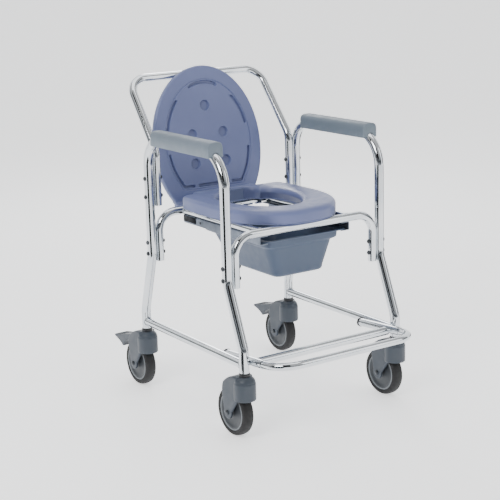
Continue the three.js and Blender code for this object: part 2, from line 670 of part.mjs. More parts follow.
// Moulded fork's cheeks, which run down and back from the round hood on the swivel axis to the axle.
function forkProfile() {
  const side = new THREE.Shape();
  side.moveTo(0, SKIRT_Z);
  side.lineTo(0, FORK_TOP);
  side.lineTo(15, FORK_TOP);
  side.quadraticCurveTo(45, FORK_TOP - 6, pedalPivot.y + 4, FORK_TOP - 25);
  side.quadraticCurveTo(pedalPivot.y + 12, FORK_TOP - 38, pedalPivot.y + 10, FORK_TOP - 60);
  side.lineTo(axleY + 15, axleZ - 4);
  side.quadraticCurveTo(axleY + 6, axleZ - 18, axleY - 6, axleZ - 12);
  return side;
}

// The hood's round shoulder, falling away from the swivel axis.
function forkShoulder() {
  const corners = [[0, 0], [90, 0], [90, FORK_TOP - 26], [LEG_R + 3, FORK_TOP], [0, FORK_TOP]];
  return toSolid(lathe(corners, ROUND).rotateX(Math.PI / 2));
}

// The room for a pedal's barrel and neck, between the fork's two ears.
function pedalRoom() {
  const { y, z } = pedalPivot;
  const neck = polygon([y, z], [y, z - BARREL_R - 1], [y + 42, z - 50], [y + 80, z - 50],
    [y + 80, z + 30], [y + 17, z + 30]);
  const width = 2 * (PEDAL_HALF + GAP);
  return toSolid(plateX(neck, width, 0))
    .add(toSolid(bar('x', BARREL_R + GAP, width, at(0, y, z), ROUND)));
}

function castorFork(braked) {
  const hood = lathe([[0, SKIRT_Z], [FORK_R, SKIRT_Z], [FORK_R, FORK_TOP - 14], [FORK_R - 4, FORK_TOP - 6],
    [LEG_R + 3, FORK_TOP], [0, FORK_TOP]], ROUND).rotateX(Math.PI / 2);
  const wheelRoom = bar('x', wheelR + WHEEL_ROOM, WHEEL_W + 2 * WHEEL_ROOM, at(0, axleY, axleZ), ROUND);
  const pinHole = bar('z', PIN_R + GAP, FORK_TOP, at(0, 0, PIN_FOOT - GAP + FORK_TOP / 2));
  const axleHole = bar('x', AXLE_R + GAP, 4 * FORK_HALF, at(0, axleY, axleZ), 8);
  const fork = toSolid(plateX(forkProfile(), 2 * FORK_HALF, 0, 4))
    .intersect(forkShoulder())
    .add(toSolid(hood))
    .subtract(toSolid(wheelRoom))
    .subtract(toSolid(pinHole))
    .subtract(toSolid(axleHole));
  return toGeometry(braked ? fork.subtract(pedalRoom()) : fork);
}

function castorAxle() {
  const end = FORK_HALF + GAP;
  return lathe([[0, -end - 4], [6, -end - 4], [6, -end], [AXLE_R, -end], [AXLE_R, end], [6, end], [6, end + 4],
    [0, end + 4]], 8).rotateZ(Math.PI / 2).translate(0, axleY, axleZ);
}

const rimR = wheelR - TYRE;

function castorWheel() {
  const half = WHEEL_W / 2;
  const bore = AXLE_R + GAP;
  return lathe([[bore, -half], [10, -half], [14, -half + 3], [rimR - GAP, -half + 3], [rimR - GAP, half - 3],
    [14, half - 3], [10, half], [bore, half], [bore, -half]], ROUND)
    .rotateZ(Math.PI / 2).rotateX(Math.PI / ROUND).translate(0, axleY, axleZ);
}

// Facets lie on the rolling circle, so the tyre stands flat on one of them.
function castorTyre() {
  const half = WHEEL_W / 2;
  const out = wheelR / Math.cos(Math.PI / ROUND);
  return lathe([[rimR, -half + 1], [out - 6, -half], [out, -half + 6], [out, half - 6], [out - 6, half],
    [rimR, half - 1], [rimR, -half + 1]], ROUND)
    .rotateZ(Math.PI / 2).rotateX(Math.PI / ROUND).translate(0, axleY, axleZ);
}

// Beak-shaped lever on a barrel. Its underside clears the tyre when it is pressed too.
function brakePedal() {
  const { y, z } = pedalPivot;
  const shape = new THREE.Shape();
  shape.moveTo(y, z + BARREL_R);
  shape.quadraticCurveTo(y + 40, z - 4, PEDAL_REACH - 6, z - 14);
  shape.lineTo(PEDAL_REACH, z - 20);
  shape.quadraticCurveTo(PEDAL_REACH - 34, z - 29, PEDAL_REACH - 52, z - 46);
  shape.lineTo(y + 40, z - 46);
  shape.lineTo(y + 36, z - 26);
  shape.lineTo(y, z - BARREL_R + 1);
  const clearOfTyre = bar('x', wheelR + WHEEL_ROOM / 2, 4 * FORK_HALF, at(0, axleY, axleZ), ROUND);
  const pressed = clearOfTyre.clone().translate(0, -y, -z)
    .rotateX(THREE.MathUtils.degToRad(PEDAL_PRESS)).translate(0, y, z);
  const lever = cut(plateX(shape, 2 * PEDAL_HALF, 0, 5), clearOfTyre, pressed);
  return join(lever, bar('x', BARREL_R, 2 * PEDAL_HALF, at(0, y, z), SIDES));
}

const castors = [
  { name: 'front_left', x: legX, y: frontAxisY, braked: false },
  { name: 'front_right', x: -legX, y: frontAxisY, braked: false },
  { name: 'rear_left', x: legX, y: rearAxisY, braked: true },
  { name: 'rear_right', x: -legX, y: rearAxisY, braked: true },
];

function castor({ name, x, y, braked }) {
  const group = new THREE.Group();
  group.position.set(x, y, 0);
  group.add(piece(`castor_stem_${name}`, castorStem(), 'black'));
  group.add(piece(`castor_fork_${name}`, castorFork(braked), 'fork'));
  group.add(piece(`castor_axle_${name}`, castorAxle(), 'bolt'));
  group.add(piece(`castor_wheel_${name}`, castorWheel(), 'wheel'));
  group.add(piece(`castor_tyre_${name}`, castorTyre(), 'tyre'));
  if (braked) group.add(piece(`brake_pedal_${name}`, brakePedal(), 'fork'));
  return group;
}

// ---------------------------------------------------------------- assembly

const chair = new THREE.Group();
for (const side of sides) {
  chair.add(sideFrame(side), lowerRail(side), footrestGuide(side), guidePlug(side), seatRail(side));
  chair.add(panRunner(side), armPad(side));
  chair.add(padScrew(side, 1, frontPostY + 130), padScrew(side, 2, frontPostY + 230));
  for (const place of boltPlaces) chair.add(bolt(place, side));
}
chair.add(crossbar(), footrest(), seatArch('front_seat_arch', frontPostY), seatArch('rear_seat_arch', rearPostY));
chair.add(backBow(), pan(), seatRing(), lid());
for (const place of castors) chair.add(castor(place));

// The origin is on the floor under the middle of the chair's outline.
const reachFront = frontAxisY - FOOTREST_REACH - FOOTREST_R;
const reachRear = rearAxisY + PEDAL_REACH;
chair.position.y = -(reachFront + reachRear) / 2;
chair.updateMatrixWorld(true);

export default chair;
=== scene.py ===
"""Looks for the wheeled commode chair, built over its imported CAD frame.

Every finer piece takes its place from the frame's own nodes, is drawn in millimetres in the row's frame,
stands for one or more CAD nodes, and rides on the CAD body that carries them. The studio is in metres.
"""

from __future__ import annotations

import math
from dataclasses import dataclass, field
from enum import Enum
from typing import Iterable, Sequence

import bmesh
import bpy
from mathutils import Matrix, Vector

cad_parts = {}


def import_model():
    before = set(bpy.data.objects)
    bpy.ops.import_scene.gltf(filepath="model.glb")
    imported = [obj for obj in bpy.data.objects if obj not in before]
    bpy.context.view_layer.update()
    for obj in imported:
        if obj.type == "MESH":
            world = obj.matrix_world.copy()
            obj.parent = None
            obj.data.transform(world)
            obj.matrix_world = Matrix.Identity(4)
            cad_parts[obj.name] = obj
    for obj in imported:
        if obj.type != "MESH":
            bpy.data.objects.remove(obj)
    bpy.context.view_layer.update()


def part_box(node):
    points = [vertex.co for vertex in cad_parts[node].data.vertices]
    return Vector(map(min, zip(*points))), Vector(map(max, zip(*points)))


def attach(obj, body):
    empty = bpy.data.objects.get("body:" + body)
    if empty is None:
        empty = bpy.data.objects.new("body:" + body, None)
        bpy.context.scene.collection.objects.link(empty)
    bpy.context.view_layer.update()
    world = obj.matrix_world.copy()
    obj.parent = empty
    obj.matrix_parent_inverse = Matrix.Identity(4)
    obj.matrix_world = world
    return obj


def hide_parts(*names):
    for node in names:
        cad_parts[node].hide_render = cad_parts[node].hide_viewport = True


MM = 0.001
GAP = 0.3
SIDES = (("left", 1), ("right", -1))

Point = tuple[float, float, float]
Station = tuple[Vector, Vector]
Profile = Sequence[tuple[float, float]]
Socket = bpy.types.NodeSocket


# ---------------------------------------------------------------- finishes


def srgb(code: str) -> tuple[float, float, float, float]:
    """Turns six hex digits of sRGB into linear red, green, blue and alpha."""
    channels = [int(code[i:i + 2], 16) / 255 for i in (0, 2, 4)]
    linear = [c / 12.92 if c <= 0.04045 else ((c + 0.055) / 1.055) ** 2.4 for c in channels]
    return linear[0], linear[1], linear[2], 1.0


class NodeChain:
    """Adds and links the nodes of one material."""

    def __init__(self, name: str) -> None:
        """Makes an empty node material."""
        self.material = bpy.data.materials.new(name)
        self.material.use_nodes = True
        self.tree = self.material.node_tree
        self.shader = self.tree.nodes["Principled BSDF"]
        self.place = self.tree.nodes.new("ShaderNodeTexCoord").outputs["Object"]

    def feed(self, node: bpy.types.Node, name: str | int, value: Socket | float | tuple[float, ...]) -> None:
        """Gives a node's input a value, or links a socket to it."""
        if isinstance(value, Socket):
            self.tree.links.new(value, node.inputs[name])
        else:
            node.inputs[name].default_value = value

    def node(self, kind: str, **inputs: Socket | float) -> bpy.types.Node:
        """Adds a node and feeds its inputs; underscores in a name stand for spaces."""
        node = self.tree.nodes.new(f"ShaderNode{kind}")
        for name, value in inputs.items():
            self.feed(node, name.replace("_", " "), value)
        return node

    def shade(self, **inputs: Socket | float | tuple[float, ...]) -> None:
        """Feeds the shader's inputs; underscores in a name stand for spaces."""
        for name, value in inputs.items():
            self.feed(self.shader, name.replace("_", " "), value)

    def noise(self, scale: float, detail: float) -> Socket:
        """Adds noise in object space, with a scale in features per metre."""
        return self.node("TexNoise", Vector=self.place, Scale=scale, Detail=detail).outputs["Fac"]

    def span(self, value: Socket, low: float, high: float, start: float = 0.3, end: float = 0.7) -> Socket:
        """Maps a value from start..end onto low..high."""
        return self.node("MapRange", Value=value, From_Min=start, From_Max=end, To_Min=low,
                         To_Max=high).outputs["Result"]

    def blend(self, factor: Socket, first: str | Socket, second: str) -> Socket:
        """Mixes two colours, each an sRGB code or a socket."""
        node = self.node("Mix")
        node.data_type = "RGBA"
        for slot, value in ((0, factor), (6, first), (7, second)):
            self.feed(node, slot, srgb(value) if isinstance(value, str) else value)
        return node.outputs[2]

    def bump(self, *heights: tuple[Socket, float, float]) -> None:
        """Chains bumps of (height, strength, distance in mm) into the normal, from coarse to fine."""
        normal = None
        for height, strength, distance in heights:
            node = self.node("Bump", Height=height, Strength=strength, Distance=distance * MM)
            if normal is not None:
                self.feed(node, "Normal", normal)
            normal = node.outputs["Normal"]
        self.shade(Normal=normal)

    def edges(self) -> Socket:
        """Gives a value that is 1 along convex edges and 0 on flats."""
        return self.span(self.node("NewGeometry").outputs["Pointiness"], 0.0, 1.0, 0.52, 0.6)


@dataclass(frozen=True)
class Plating:
    """Bright or dark metal plating with faint smears and polishing marks."""

    name: str
    colour: str
    dull: str
    roughness: float
    ripple: float = 0.04

    def build(self) -> bpy.types.Material:
        """Makes the material."""
        chain = NodeChain(self.name)
        # Handling leaves soft smears, a hand's breadth apart.
        smear = chain.span(chain.noise(14, 4), 0, 1)
        chain.shade(Base_Color=chain.blend(smear, self.colour, self.dull), Metallic=1.0,
                    Specular_IOR_Level=0.5,
                    Roughness=chain.span(chain.noise(60, 5), self.roughness, self.roughness * 1.9))
        # Bending and polishing leave a slow ripple in the plating.
        chain.bump((chain.noise(25, 1), self.ripple, 0.4), (chain.noise(900, 2), 0.02, 0.05))
        return chain.material


@dataclass(frozen=True)
class Moulding:
    """Injection-moulded plastic: fine spark-eroded grain, slow shade changes and a lighter tint along convex
    edges.
    """

    name: str
    colour: str
    shade: str
    edge_tint: str
    roughness: float
    grain: float
    grain_scale: float = 2600

    def build(self) -> bpy.types.Material:
        """Makes the material."""
        chain = NodeChain(self.name)
        base = chain.blend(chain.span(chain.noise(9, 3), 0, 1), self.colour, self.shade)
        # Convex edges take the lighter edge tint.
        chain.shade(Base_Color=chain.blend(chain.edges(), base, self.edge_tint), Metallic=0.0, IOR=1.49,
                    Roughness=chain.span(chain.noise(45, 4), self.roughness * 0.85, self.roughness * 1.2))
        # Slight sink marks, then the mould's grain.
        chain.bump((chain.noise(18, 1), 0.05, 0.5), (chain.noise(self.grain_scale, 2), self.grain, 0.06))
        return chain.material


@dataclass(frozen=True)
class Rubber:
    """Black rubber with dust and fine scuffs."""

    name: str
    colour: str
    dust: str
    roughness: float

    def build(self) -> bpy.types.Material:
        """Makes the material."""
        chain = NodeChain(self.name)
        scuffs = chain.span(chain.noise(70, 6), 0, 0.6, 0.55, 0.8)
        chain.shade(Base_Color=chain.blend(scuffs, self.colour, self.dust), Metallic=0.0, IOR=1.52,
                    Roughness=chain.span(chain.noise(120, 3), self.roughness * 0.85, self.roughness))
        chain.bump((chain.noise(300, 4), 0.2, 0.15), (chain.noise(1800, 2), 0.2, 0.06))
        return chain.material


class Look(Enum):
    """The chair's finishes, each with the record's material slot that it stands for."""

    CHROME = ("chrome_tube", Plating("bright_chrome_plate", "dfe2e5", "c9ced3", 0.07))
    WELD = ("chrome_tube", Plating("plated_weld_bead", "c8ccd0", "a9aeb3", 0.2, 0.3))
    SEAT = ("seat_plastic",
            Moulding("blue_grey_polypropylene_seat", "68719a", "636c94", "7b85a8", 0.36, 0.05, 1800))
    PAN = ("pan_plastic", Moulding("slate_polypropylene_pan", "47556c", "435066", "5d6a80", 0.42, 0.08))
    PAD = ("pad_plastic", Moulding("grey_moulded_arm_pad", "6a7682", "65717c", "808c97", 0.5, 0.22, 1500))
    CASTOR = ("castor_plastic", Moulding("slate_nylon_castor", "3a424c", "363d46", "4f5963", 0.42, 0.12))
    WHEEL = ("wheel_plastic", Moulding("grey_nylon_wheel", "35393e", "303439", "4c5156", 0.45, 0.12))
    RING = ("wheel_plastic", Moulding("pale_wheel_ring", "74797e", "6b7075", "8a8f94", 0.4, 0.1))
    TYRE = ("tyre", Rubber("black_tyre_rubber", "0f0f11", "2c2c2e", 0.72))
    TREAD = ("castor_plastic", Rubber("dark_pedal_tread", "232a31", "3d454d", 0.65))
    BLACK = ("black_plastic", Moulding("black_nylon_plug", "131316", "18181b", "2c2c30", 0.4, 0.15))
    RUNNER = ("runner_steel", Plating("zinc_channel", "8b93a0", "7b828d", 0.38, 0.1))
    # Painted shade: the dark sheet on each runner's rear stands for the shaded space under the seat reflected
    # in the channel.
    PAINTED_SHADE_STRIP = ("runner_steel", Plating("painted_shade_on_runner", "2b2d31", "212327", 0.4, 0.1))
    BOLT = ("bolt_steel", Plating("dark_zinc_bolt", "5d6064", "44474a", 0.28, 0.1))


# ---------------------------------------------------------------- shapes


@dataclass
class Shape:
    """Vertices and faces in millimetres, in the row's frame."""

    verts: list[Vector] = field(default_factory=list)
    faces: list[tuple[int, ...]] = field(default_factory=list)

    def add(self, other: Shape) -> Shape:
        """Adds another shape to this one, and returns this one."""
        start = len(self.verts)
        self.verts.extend(other.verts)
        self.faces.extend(tuple(i + start for i in face) for face in other.faces)
        return self

    def moved(self, matrix: Matrix) -> Shape:
        """Returns a copy moved by a matrix, turned outward again if the matrix mirrors."""
        faces = self.faces
        if matrix.to_3x3().determinant() < 0:
            faces = [tuple(reversed(face)) for face in faces]
        return Shape([matrix @ v for v in self.verts], list(faces))

    def at(self, x: float, y: float, z: float) -> Shape:
        """Returns a copy moved by x, y and z."""
        return self.moved(Matrix.Translation((x, y, z)))

    def on(self, sign: int) -> Shape:
        """Returns a left-hand shape as it is for sign 1, and mirrored to the right for sign -1."""
        return self if sign > 0 else self.moved(Matrix.Scale(-1, 4, (1, 0, 0)))


def round_angles(count: int) -> list[float]:
    """Returns evenly spaced angles once round a circle."""
    return [2 * math.pi * k / count for k in range(count)]


def arc(radius: float, start: float, end: float, steps: int, cx: float = 0.0, cy: float = 0.0) -> Profile:
    """Returns the points of an arc between two angles in degrees, both ends included."""
    angles = [math.radians(start + (end - start) * k / steps) for k in range(steps + 1)]
    return [(cx + radius * math.cos(a), cy + radius * math.sin(a)) for a in angles]


def skin(rings: Sequence[Sequence[Vector]], loop: bool = False) -> Shape:
    """Joins rings of equal length with faces, closing the ends flat or joining the last ring to the first."""
    count = len(rings[0])
    shape = Shape([Vector(p) for ring in rings for p in ring])
    for r in range(len(rings) if loop else len(rings) - 1):
        low = r * count
        high = ((r + 1) % len(rings)) * count
        for i in range(count):
            j = (i + 1) % count
            shape.faces.append((low + i, low + j, high + j, high + i))
    if not loop:
        last = (len(rings) - 1) * count
        shape.faces.append(tuple(reversed(range(count))))
        shape.faces.append(tuple(range(last, last + count)))
    return shape


def turned(profile: Profile, axis: str, sides: int) -> Shape:
    """Turns a profile of (radius, height) about an axis; one that starts off the axis is closed."""
    tiny = 1e-4
    rings = [[Vector((max(radius, tiny) * math.cos(a), max(radius, tiny) * math.sin(a), height))
              for a in round_angles(sides)] for radius, height in profile]
    if sum(a[0] * b[1] - b[0] * a[1] for a, b in zip(profile, [*profile[1:], profile[0]])) < 0:
        rings.reverse()
    turns = {"Z": Matrix(), "X": Matrix.Rotation(math.pi / 2, 4, "Y"),
             "Y": Matrix.Rotation(-math.pi / 2, 4, "X")}
    return skin(rings, loop=profile[0][0] > tiny).moved(turns[axis])


def rod(radius: float, low: float, high: float, axis: str, sides: int) -> Shape:
    """Makes a plain cylinder between two heights."""
    return turned([(0, low), (radius, low), (radius, high), (0, high)], axis, sides)


def both_faces(profile: Profile) -> Profile:
    """Follows a wheel's profile from one face round to its mirror image on the other."""
    return [*profile, *[(radius, -height) for radius, height in reversed(profile)]]


def extruded(outline: Profile, low_x: float, high_x: float) -> Shape:
    """Draws a YZ outline out along X."""
    return skin([[Vector((x, y, z)) for y, z in outline] for x in (low_x, high_x)])


def clip(inner: float, outer: float, start: float, end: float, steps: int) -> Profile:
    """Outlines an open ring between two radii."""
    return [*arc(outer, start, end, steps), *reversed(arc(inner, start, end, steps))]


def plate(outline: Profile, low_x: float, high_x: float, soft: float) -> Shape:
    """Draws a YZ outline, counter-clockwise seen from +X, out along X with its rims drawn in."""
    points = [Vector((0, y, z)) for y, z in outline]
    middle = sum(points, Vector()) / len(points)

    def ring(x: float, inset: float) -> list[Vector]:
        return [Vector((x, 0, 0)) + p + (middle - p).normalized() * inset for p in points]

    steps = [(0.0, 1.0), (0.3, 0.3), (1.0, 0.0)]
    near = [ring(low_x + soft * a, soft * b) for a, b in steps]
    far = [ring(high_x - soft * a, soft * b) for a, b in reversed(steps)]
    return skin([*near, *far])


def stations(corners: Sequence[Point], bends: Sequence[float]) -> list[Station]:
    """Works out (point, heading) along a run through corners, with a round bend at each inner one."""
    corners = [Vector(c) for c in corners]
    line = [(corners[0], (corners[1] - corners[0]).normalized())]
    for last, corner, following, radius in zip(corners, corners[1:], corners[2:], bends):
        before, after = (corner - last).normalized(), (following - corner).normalized()
        turn = before.angle(after)
        start = corner - before * radius * math.tan(turn / 2)
        inward = (after - before * after.dot(before)).normalized()
        steps = max(2, round(math.degrees(turn) / 3))
        for k in range(steps + 1):
            angle = turn * k / steps
            point = start + before * radius * math.sin(angle) + inward * radius * (1 - math.cos(angle))
            line.append((point, before * math.cos(angle) + inward * math.sin(angle)))
    line.append((corners[-1], (corners[-1] - corners[-2]).normalized()))
    return line


def rings_along(line: Sequence[Station], radii: Sequence[float], sides: int) -> list[list[Vector]]:
    """Sets a circle on each station of a line, with no twist from one to the next."""
    tangent = line[0][1]
    side = tangent.orthogonal().normalized()
    rings = []
    for (point, heading), radius in zip(line, radii):
        side = tangent.rotation_difference(heading) @ side
        side = (side - heading * side.dot(heading)).normalized()
        tangent = heading
        across = heading.cross(side)
        rings.append([point + (side * math.cos(a) + across * math.sin(a)) * radius
                      for a in round_angles(sides)])
    return rings


def tube(corners: Sequence[Point], radius: float, bends: Sequence[float] = (), wall: float = 1.5,
         sides: int = 36) -> Shape:
    """Makes an open-ended tube with softened end edges, as one closed body."""
    first, *between, last = stations(corners, bends)
    soft = 0.4
    line = [first, (first[0] + first[1] * soft, first[1]), *between,
            (last[0] - last[1] * soft, last[1]), last]
    outer = rings_along(line, [radius - soft, *[radius] * (len(line) - 2), radius - soft], sides)
    inner = rings_along(line, [radius - wall] * len(line), sides)
    return skin([*outer, *reversed(inner)], loop=True)


def weld_bead(end: Vector, heading: Vector, post_axis: Vector, tube_radius: float,
              post_radius: float) -> Shape:
    """Makes the bead where a tube that heads out from a round post's centre line meets the post."""
    bead = 1.5
    across = post_axis.cross(heading).normalized()
    count = 64
    centres = []
    for angle in round_angles(count):
        sideways = tube_radius * math.sin(angle)
        out = math.sqrt(max(post_radius ** 2 - sideways ** 2, 0.0)) + 0.2 * bead
        centres.append(end + heading * out + across * sideways + post_axis * tube_radius * math.cos(angle))
    rings = []
    for k, centre in enumerate(centres):
        tangent = (centres[(k + 1) % count] - centres[k - 1]).normalized()
        outward = (centre - end - heading * (centre - end).dot(heading)).normalized()
        along = tangent.cross(outward).normalized()
        # The welder's ripples swell the bead a little, eight to each quarter.
        size = bead * (1 + 0.12 * math.sin(32 * 2 * math.pi * k / count))
        rings.append([centre + (outward * math.cos(a) + along * math.sin(a)) * size for a in round_angles(8)])
    return skin(rings, loop=True)


def rounded_rectangle(half_x: float, low_y: float, high_y: float, radius: float, z: float) -> list[Vector]:
    """Makes a counter-clockwise ring with round corners at height z."""
    centres = [(half_x - radius, low_y + radius, -90), (half_x - radius, high_y - radius, 0),
               (-half_x + radius, high_y - radius, 90), (-half_x + radius, low_y + radius, 180)]
    return [Vector((x, y, z)) for cx, cy, start in centres
            for x, y in arc(radius, start, start + 90, 13, cx, cy)]


def bezier(points: Profile, t: float) -> tuple[float, float]:
    """Returns the point at t on a Bezier curve of any order."""
    level = list(points)
    while len(level) > 1:
        level = [(a[0] + (b[0] - a[0]) * t, a[1] + (b[1] - a[1]) * t) for a, b in zip(level, level[1:])]
    return level[0]


def curve(*points: tuple[float, float]) -> list[tuple[float, float]]:
    """Samples a Bezier curve, without its last point."""
    return [bezier(points, k / 10) for k in range(10)]


@dataclass(frozen=True)
class Egg:
    """A seat-shaped outline, flat at the rear and round at the front, in the XY plane."""

    half: float
    rear_half: float
    rear: float
    front: float
    corner: float
    fullness: float = 0.0

    def side(self) -> list[tuple[float, float]]:
        """Traces the right-hand half from the rear middle to the front tip, finely."""
        widest = self.rear + (self.front - self.rear) * 0.42
        bulge = 0.5523 + self.fullness
        rear_start = (self.rear_half - self.corner, self.rear)
        rear_end = (self.rear_half + self.corner * 0.15, self.rear - self.corner)
        parts = [
            [(0.0, self.rear), rear_start],
            [rear_start, (self.rear_half, self.rear), rear_end],
            [rear_end,
             (self.rear_half + (self.half - self.rear_half) * 0.6, self.rear + (widest - self.rear) * 0.3),
             (self.half, self.rear + (widest - self.rear) * 0.6), (self.half, widest)],
            [(self.half, widest), (self.half, widest + (self.front - widest) * bulge),
             (self.half * bulge, self.front), (0.0, self.front)],
        ]
        return [bezier(part, k / 60) for part in parts for k in range(61)]

    def loop(self, count: int) -> list[tuple[float, float]]:
        """Spaces an even number of points evenly round the outline, counter-clockwise seen from above."""
        fine = self.side()
        lengths = [0.0]
        for a, b in zip(fine, fine[1:]):
            lengths.append(lengths[-1] + math.dist(a, b))
        half = []
        i = 0
        for k in range(count // 2 + 1):
            goal = lengths[-1] * k / (count // 2)
            while i < len(fine) - 2 and lengths[i + 1] < goal:
                i += 1
            span = lengths[i + 1] - lengths[i]
            half.append(bezier(fine[i:i + 2], (goal - lengths[i]) / span if span else 0.0))
        return [*half, *[(-x, y) for x, y in reversed(half[1:-1])]][::-1]

    def facing(self, others: Profile, middle: float) -> list[tuple[float, float]]:
        """Finds where this outline is crossed by lines from (0, middle) out to each of the others."""
        def bearing(x: float, y: float) -> float:
            return math.atan2(x, middle - y) % (2 * math.pi)

        edge = sorted((bearing(x, y), math.hypot(x, y - middle)) for x, y in self.loop(720))
        edge = [(edge[-1][0] - 2 * math.pi, edge[-1][1]), *edge, (edge[0][0] + 2 * math.pi, edge[0][1])]
        found = []
        for x, y in others:
            angle = bearing(x, y)
            k = next(i for i in range(1, len(edge)) if edge[i][0] >= angle)
            (a0, r0), (a1, r1) = edge[k - 1], edge[k]
            reach = r0 + (r1 - r0) * (angle - a0) / max(a1 - a0, 1e-9)
            found.append((reach * math.sin(angle), middle - reach * math.cos(angle)))
        return found

    def grown(self, by: float) -> Egg:
        """Returns the outline moved out by a distance."""
        return Egg(self.half + by, self.rear_half + by, self.rear + by, self.front - by, self.corner,
                   self.fullness)


def smooth_profile(points: Profile, steps: int) -> list[tuple[float, ...]]:
    """Runs a closed Catmull-Rom curve through points, kept inside their box."""
    lows, highs = ([pick(p[i] for p in points) for i in (0, 1)] for pick in (min, max))
    line = []
    for i in range(len(points)):
        p0, p1, p2, p3 = (points[(i + k - 1) % len(points)] for k in range(4))
        for t in (s / steps for s in range(steps)):
            values = [0.5 * (2 * b + (c - a) * t + (2 * a - 5 * b + 4 * c - d) * t * t
                             + (3 * b - a - 3 * c + d) * t ** 3) for a, b, c, d in zip(p0, p1, p2, p3)]
            line.append(tuple(min(max(v, low), high) for v, low, high in zip(values, lows, highs)))
    return line


# ---------------------------------------------------------------- making pieces


def shown(name: str, data: bpy.types.ID) -> bpy.types.Object:
    """Makes an object of some data and links it to the scene."""
    item = bpy.data.objects.new(name, data)
    bpy.context.scene.collection.objects.link(item)
    return item


def raw_mesh(name: str, shape: Shape, angle: float = 40.0) -> bpy.types.Object:
    """Makes a mesh object in metres, shaded smooth up to an angle."""
    data = bpy.data.meshes.new(name)
    data.from_pydata([tuple(v * MM) for v in shape.verts], [], shape.faces)
    bm = bmesh.new()
    bm.from_mesh(data)
    bmesh.ops.remove_doubles(bm, verts=bm.verts, dist=2e-6)
    bmesh.ops.dissolve_degenerate(bm, edges=bm.edges, dist=1e-6)
    bmesh.ops.recalc_face_normals(bm, faces=bm.faces)
    bm.to_mesh(data)
    bm.free()
    data.shade_smooth()
    data.set_sharp_from_angle(angle=math.radians(angle))
    return shown(name, data)


def applied(piece: bpy.types.Object) -> bpy.types.Object:
    """Bakes a piece's modifiers into its mesh, and returns it."""
    bpy.context.view_layer.update()
    baked = bpy.data.meshes.new_from_object(piece.evaluated_get(bpy.context.evaluated_depsgraph_get()))
    piece.modifiers.clear()
    piece.data = baked
    return piece


class Workshop:
    """Turns shapes into pieces that carry a finish and ride on a CAD body."""

    def __init__(self) -> None:
        """Starts with no finish made."""
        self._paints: dict[Look, bpy.types.Material] = {}

    def paint(self, look: Look) -> bpy.types.Material:
        """Returns the material of a finish, made at its first use."""
        if look not in self._paints:
            self._paints[look] = look.value[1].build()
        return self._paints[look]

    def place(self, piece: bpy.types.Object, look: Look, body: str, nodes: Iterable[str]) -> None:
        """Finishes a piece: its material, its body and the nodes it stands for."""
        piece.data.materials.clear()
        piece.data.materials.append(self.paint(look))
        if nodes:
            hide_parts(*nodes)
        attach(piece, body)

    def make(self, name: str, shape: Shape, look: Look, body: str, nodes: Iterable[str] = (),
             angle: float = 40.0) -> None:
        """Makes and places a piece in one go."""
        self.place(raw_mesh(name, shape, angle), look, body, nodes)

    def scatter(self, name: str, master: Shape, spots: Sequence[Vector], look: Look, body: str,
                nodes: Iterable[str] = ()) -> None:
        """Sets a copy of one part, drawn about the origin, on each spot with Geometry Nodes."""
        source = raw_mesh(f"{name}_master", master, 30)
        cloud = bpy.data.meshes.new(f"{name}_spots")
        cloud.from_pydata([tuple(s * MM) for s in spots], [], [])
        piece = shown(name, cloud)
        tree = bpy.data.node_groups.new(f"{name}_copies", "GeometryNodeTree")
        _, part, finish, _ = (
            tree.interface.new_socket(label, in_out=way, socket_type=f"NodeSocket{kind}")
            for label, way, kind in (("Geometry", "INPUT", "Geometry"), ("Part", "INPUT", "Object"),
                                     ("Finish", "INPUT", "Material"), ("Geometry", "OUTPUT", "Geometry")))
        incoming, info, instance, realise, material, outgoing = (tree.nodes.new(kind) for kind in (
            "NodeGroupInput", "GeometryNodeObjectInfo", "GeometryNodeInstanceOnPoints",
            "GeometryNodeRealizeInstances", "GeometryNodeSetMaterial", "NodeGroupOutput"))
        for start, output, end, socket in (
                (incoming, "Geometry", instance, "Points"), (incoming, "Part", info, "Object"),
                (info, "Geometry", instance, "Instance"), (instance, "Instances", realise, "Geometry"),
                (realise, "Geometry", material, "Geometry"), (incoming, "Finish", material, "Material"),
                (material, "Geometry", outgoing, "Geometry")):
            tree.links.new(start.outputs[output], end.inputs[socket])
        modifier = piece.modifiers.new("copies", "NODES")
        modifier.node_group = tree
        modifier[part.identifier] = source
        modifier[finish.identifier] = self.paint(look)
        applied(piece)
        bpy.data.objects.remove(source, do_unlink=True)
        self.place(piece, look, body, nodes)


def carved(name: str, solids: Sequence[Shape], cuts: Sequence[Shape], voxel: float, smoothing: int) -> Shape:
    """Melts closed solids into one moulded body with soft edges, and takes the cuts away."""
    body = raw_mesh(f"{name}_body", solids[0])
    helpers = []
    for i, solid in enumerate([*solids[1:], *cuts]):
        helpers.append(raw_mesh(f"{name}_tool_{i}", solid))
        boolean = body.modifiers.new("boolean", "BOOLEAN")
        boolean.operation = "UNION" if i < len(solids) - 1 else "DIFFERENCE"
        boolean.solver = "EXACT"
        boolean.object = helpers[-1]
    applied(body)
    remesh = body.modifiers.new("remesh", "REMESH")
    remesh.mode = "VOXEL"
    remesh.voxel_size = voxel * MM
    smooth = body.modifiers.new("smooth", "SMOOTH")
    smooth.factor = 0.5
    smooth.iterations = smoothing
    applied(body)
    shape = Shape([v.co / MM for v in body.data.vertices], [tuple(p.vertices) for p in body.data.polygons])
    for item in [body, *helpers]:
        bpy.data.objects.remove(item, do_unlink=True)
    return shape


# ---------------------------------------------------------------- where things are


class Box:
    """A CAD node's box in millimetres: its lowest and highest corners and its middle."""

    def __init__(self, node: str) -> None:
        """Reads the box from the loaded frame."""
        self.low, self.high = (Vector([v / MM for v in corner]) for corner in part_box(node))
        self.mid = (self.low + self.high) / 2


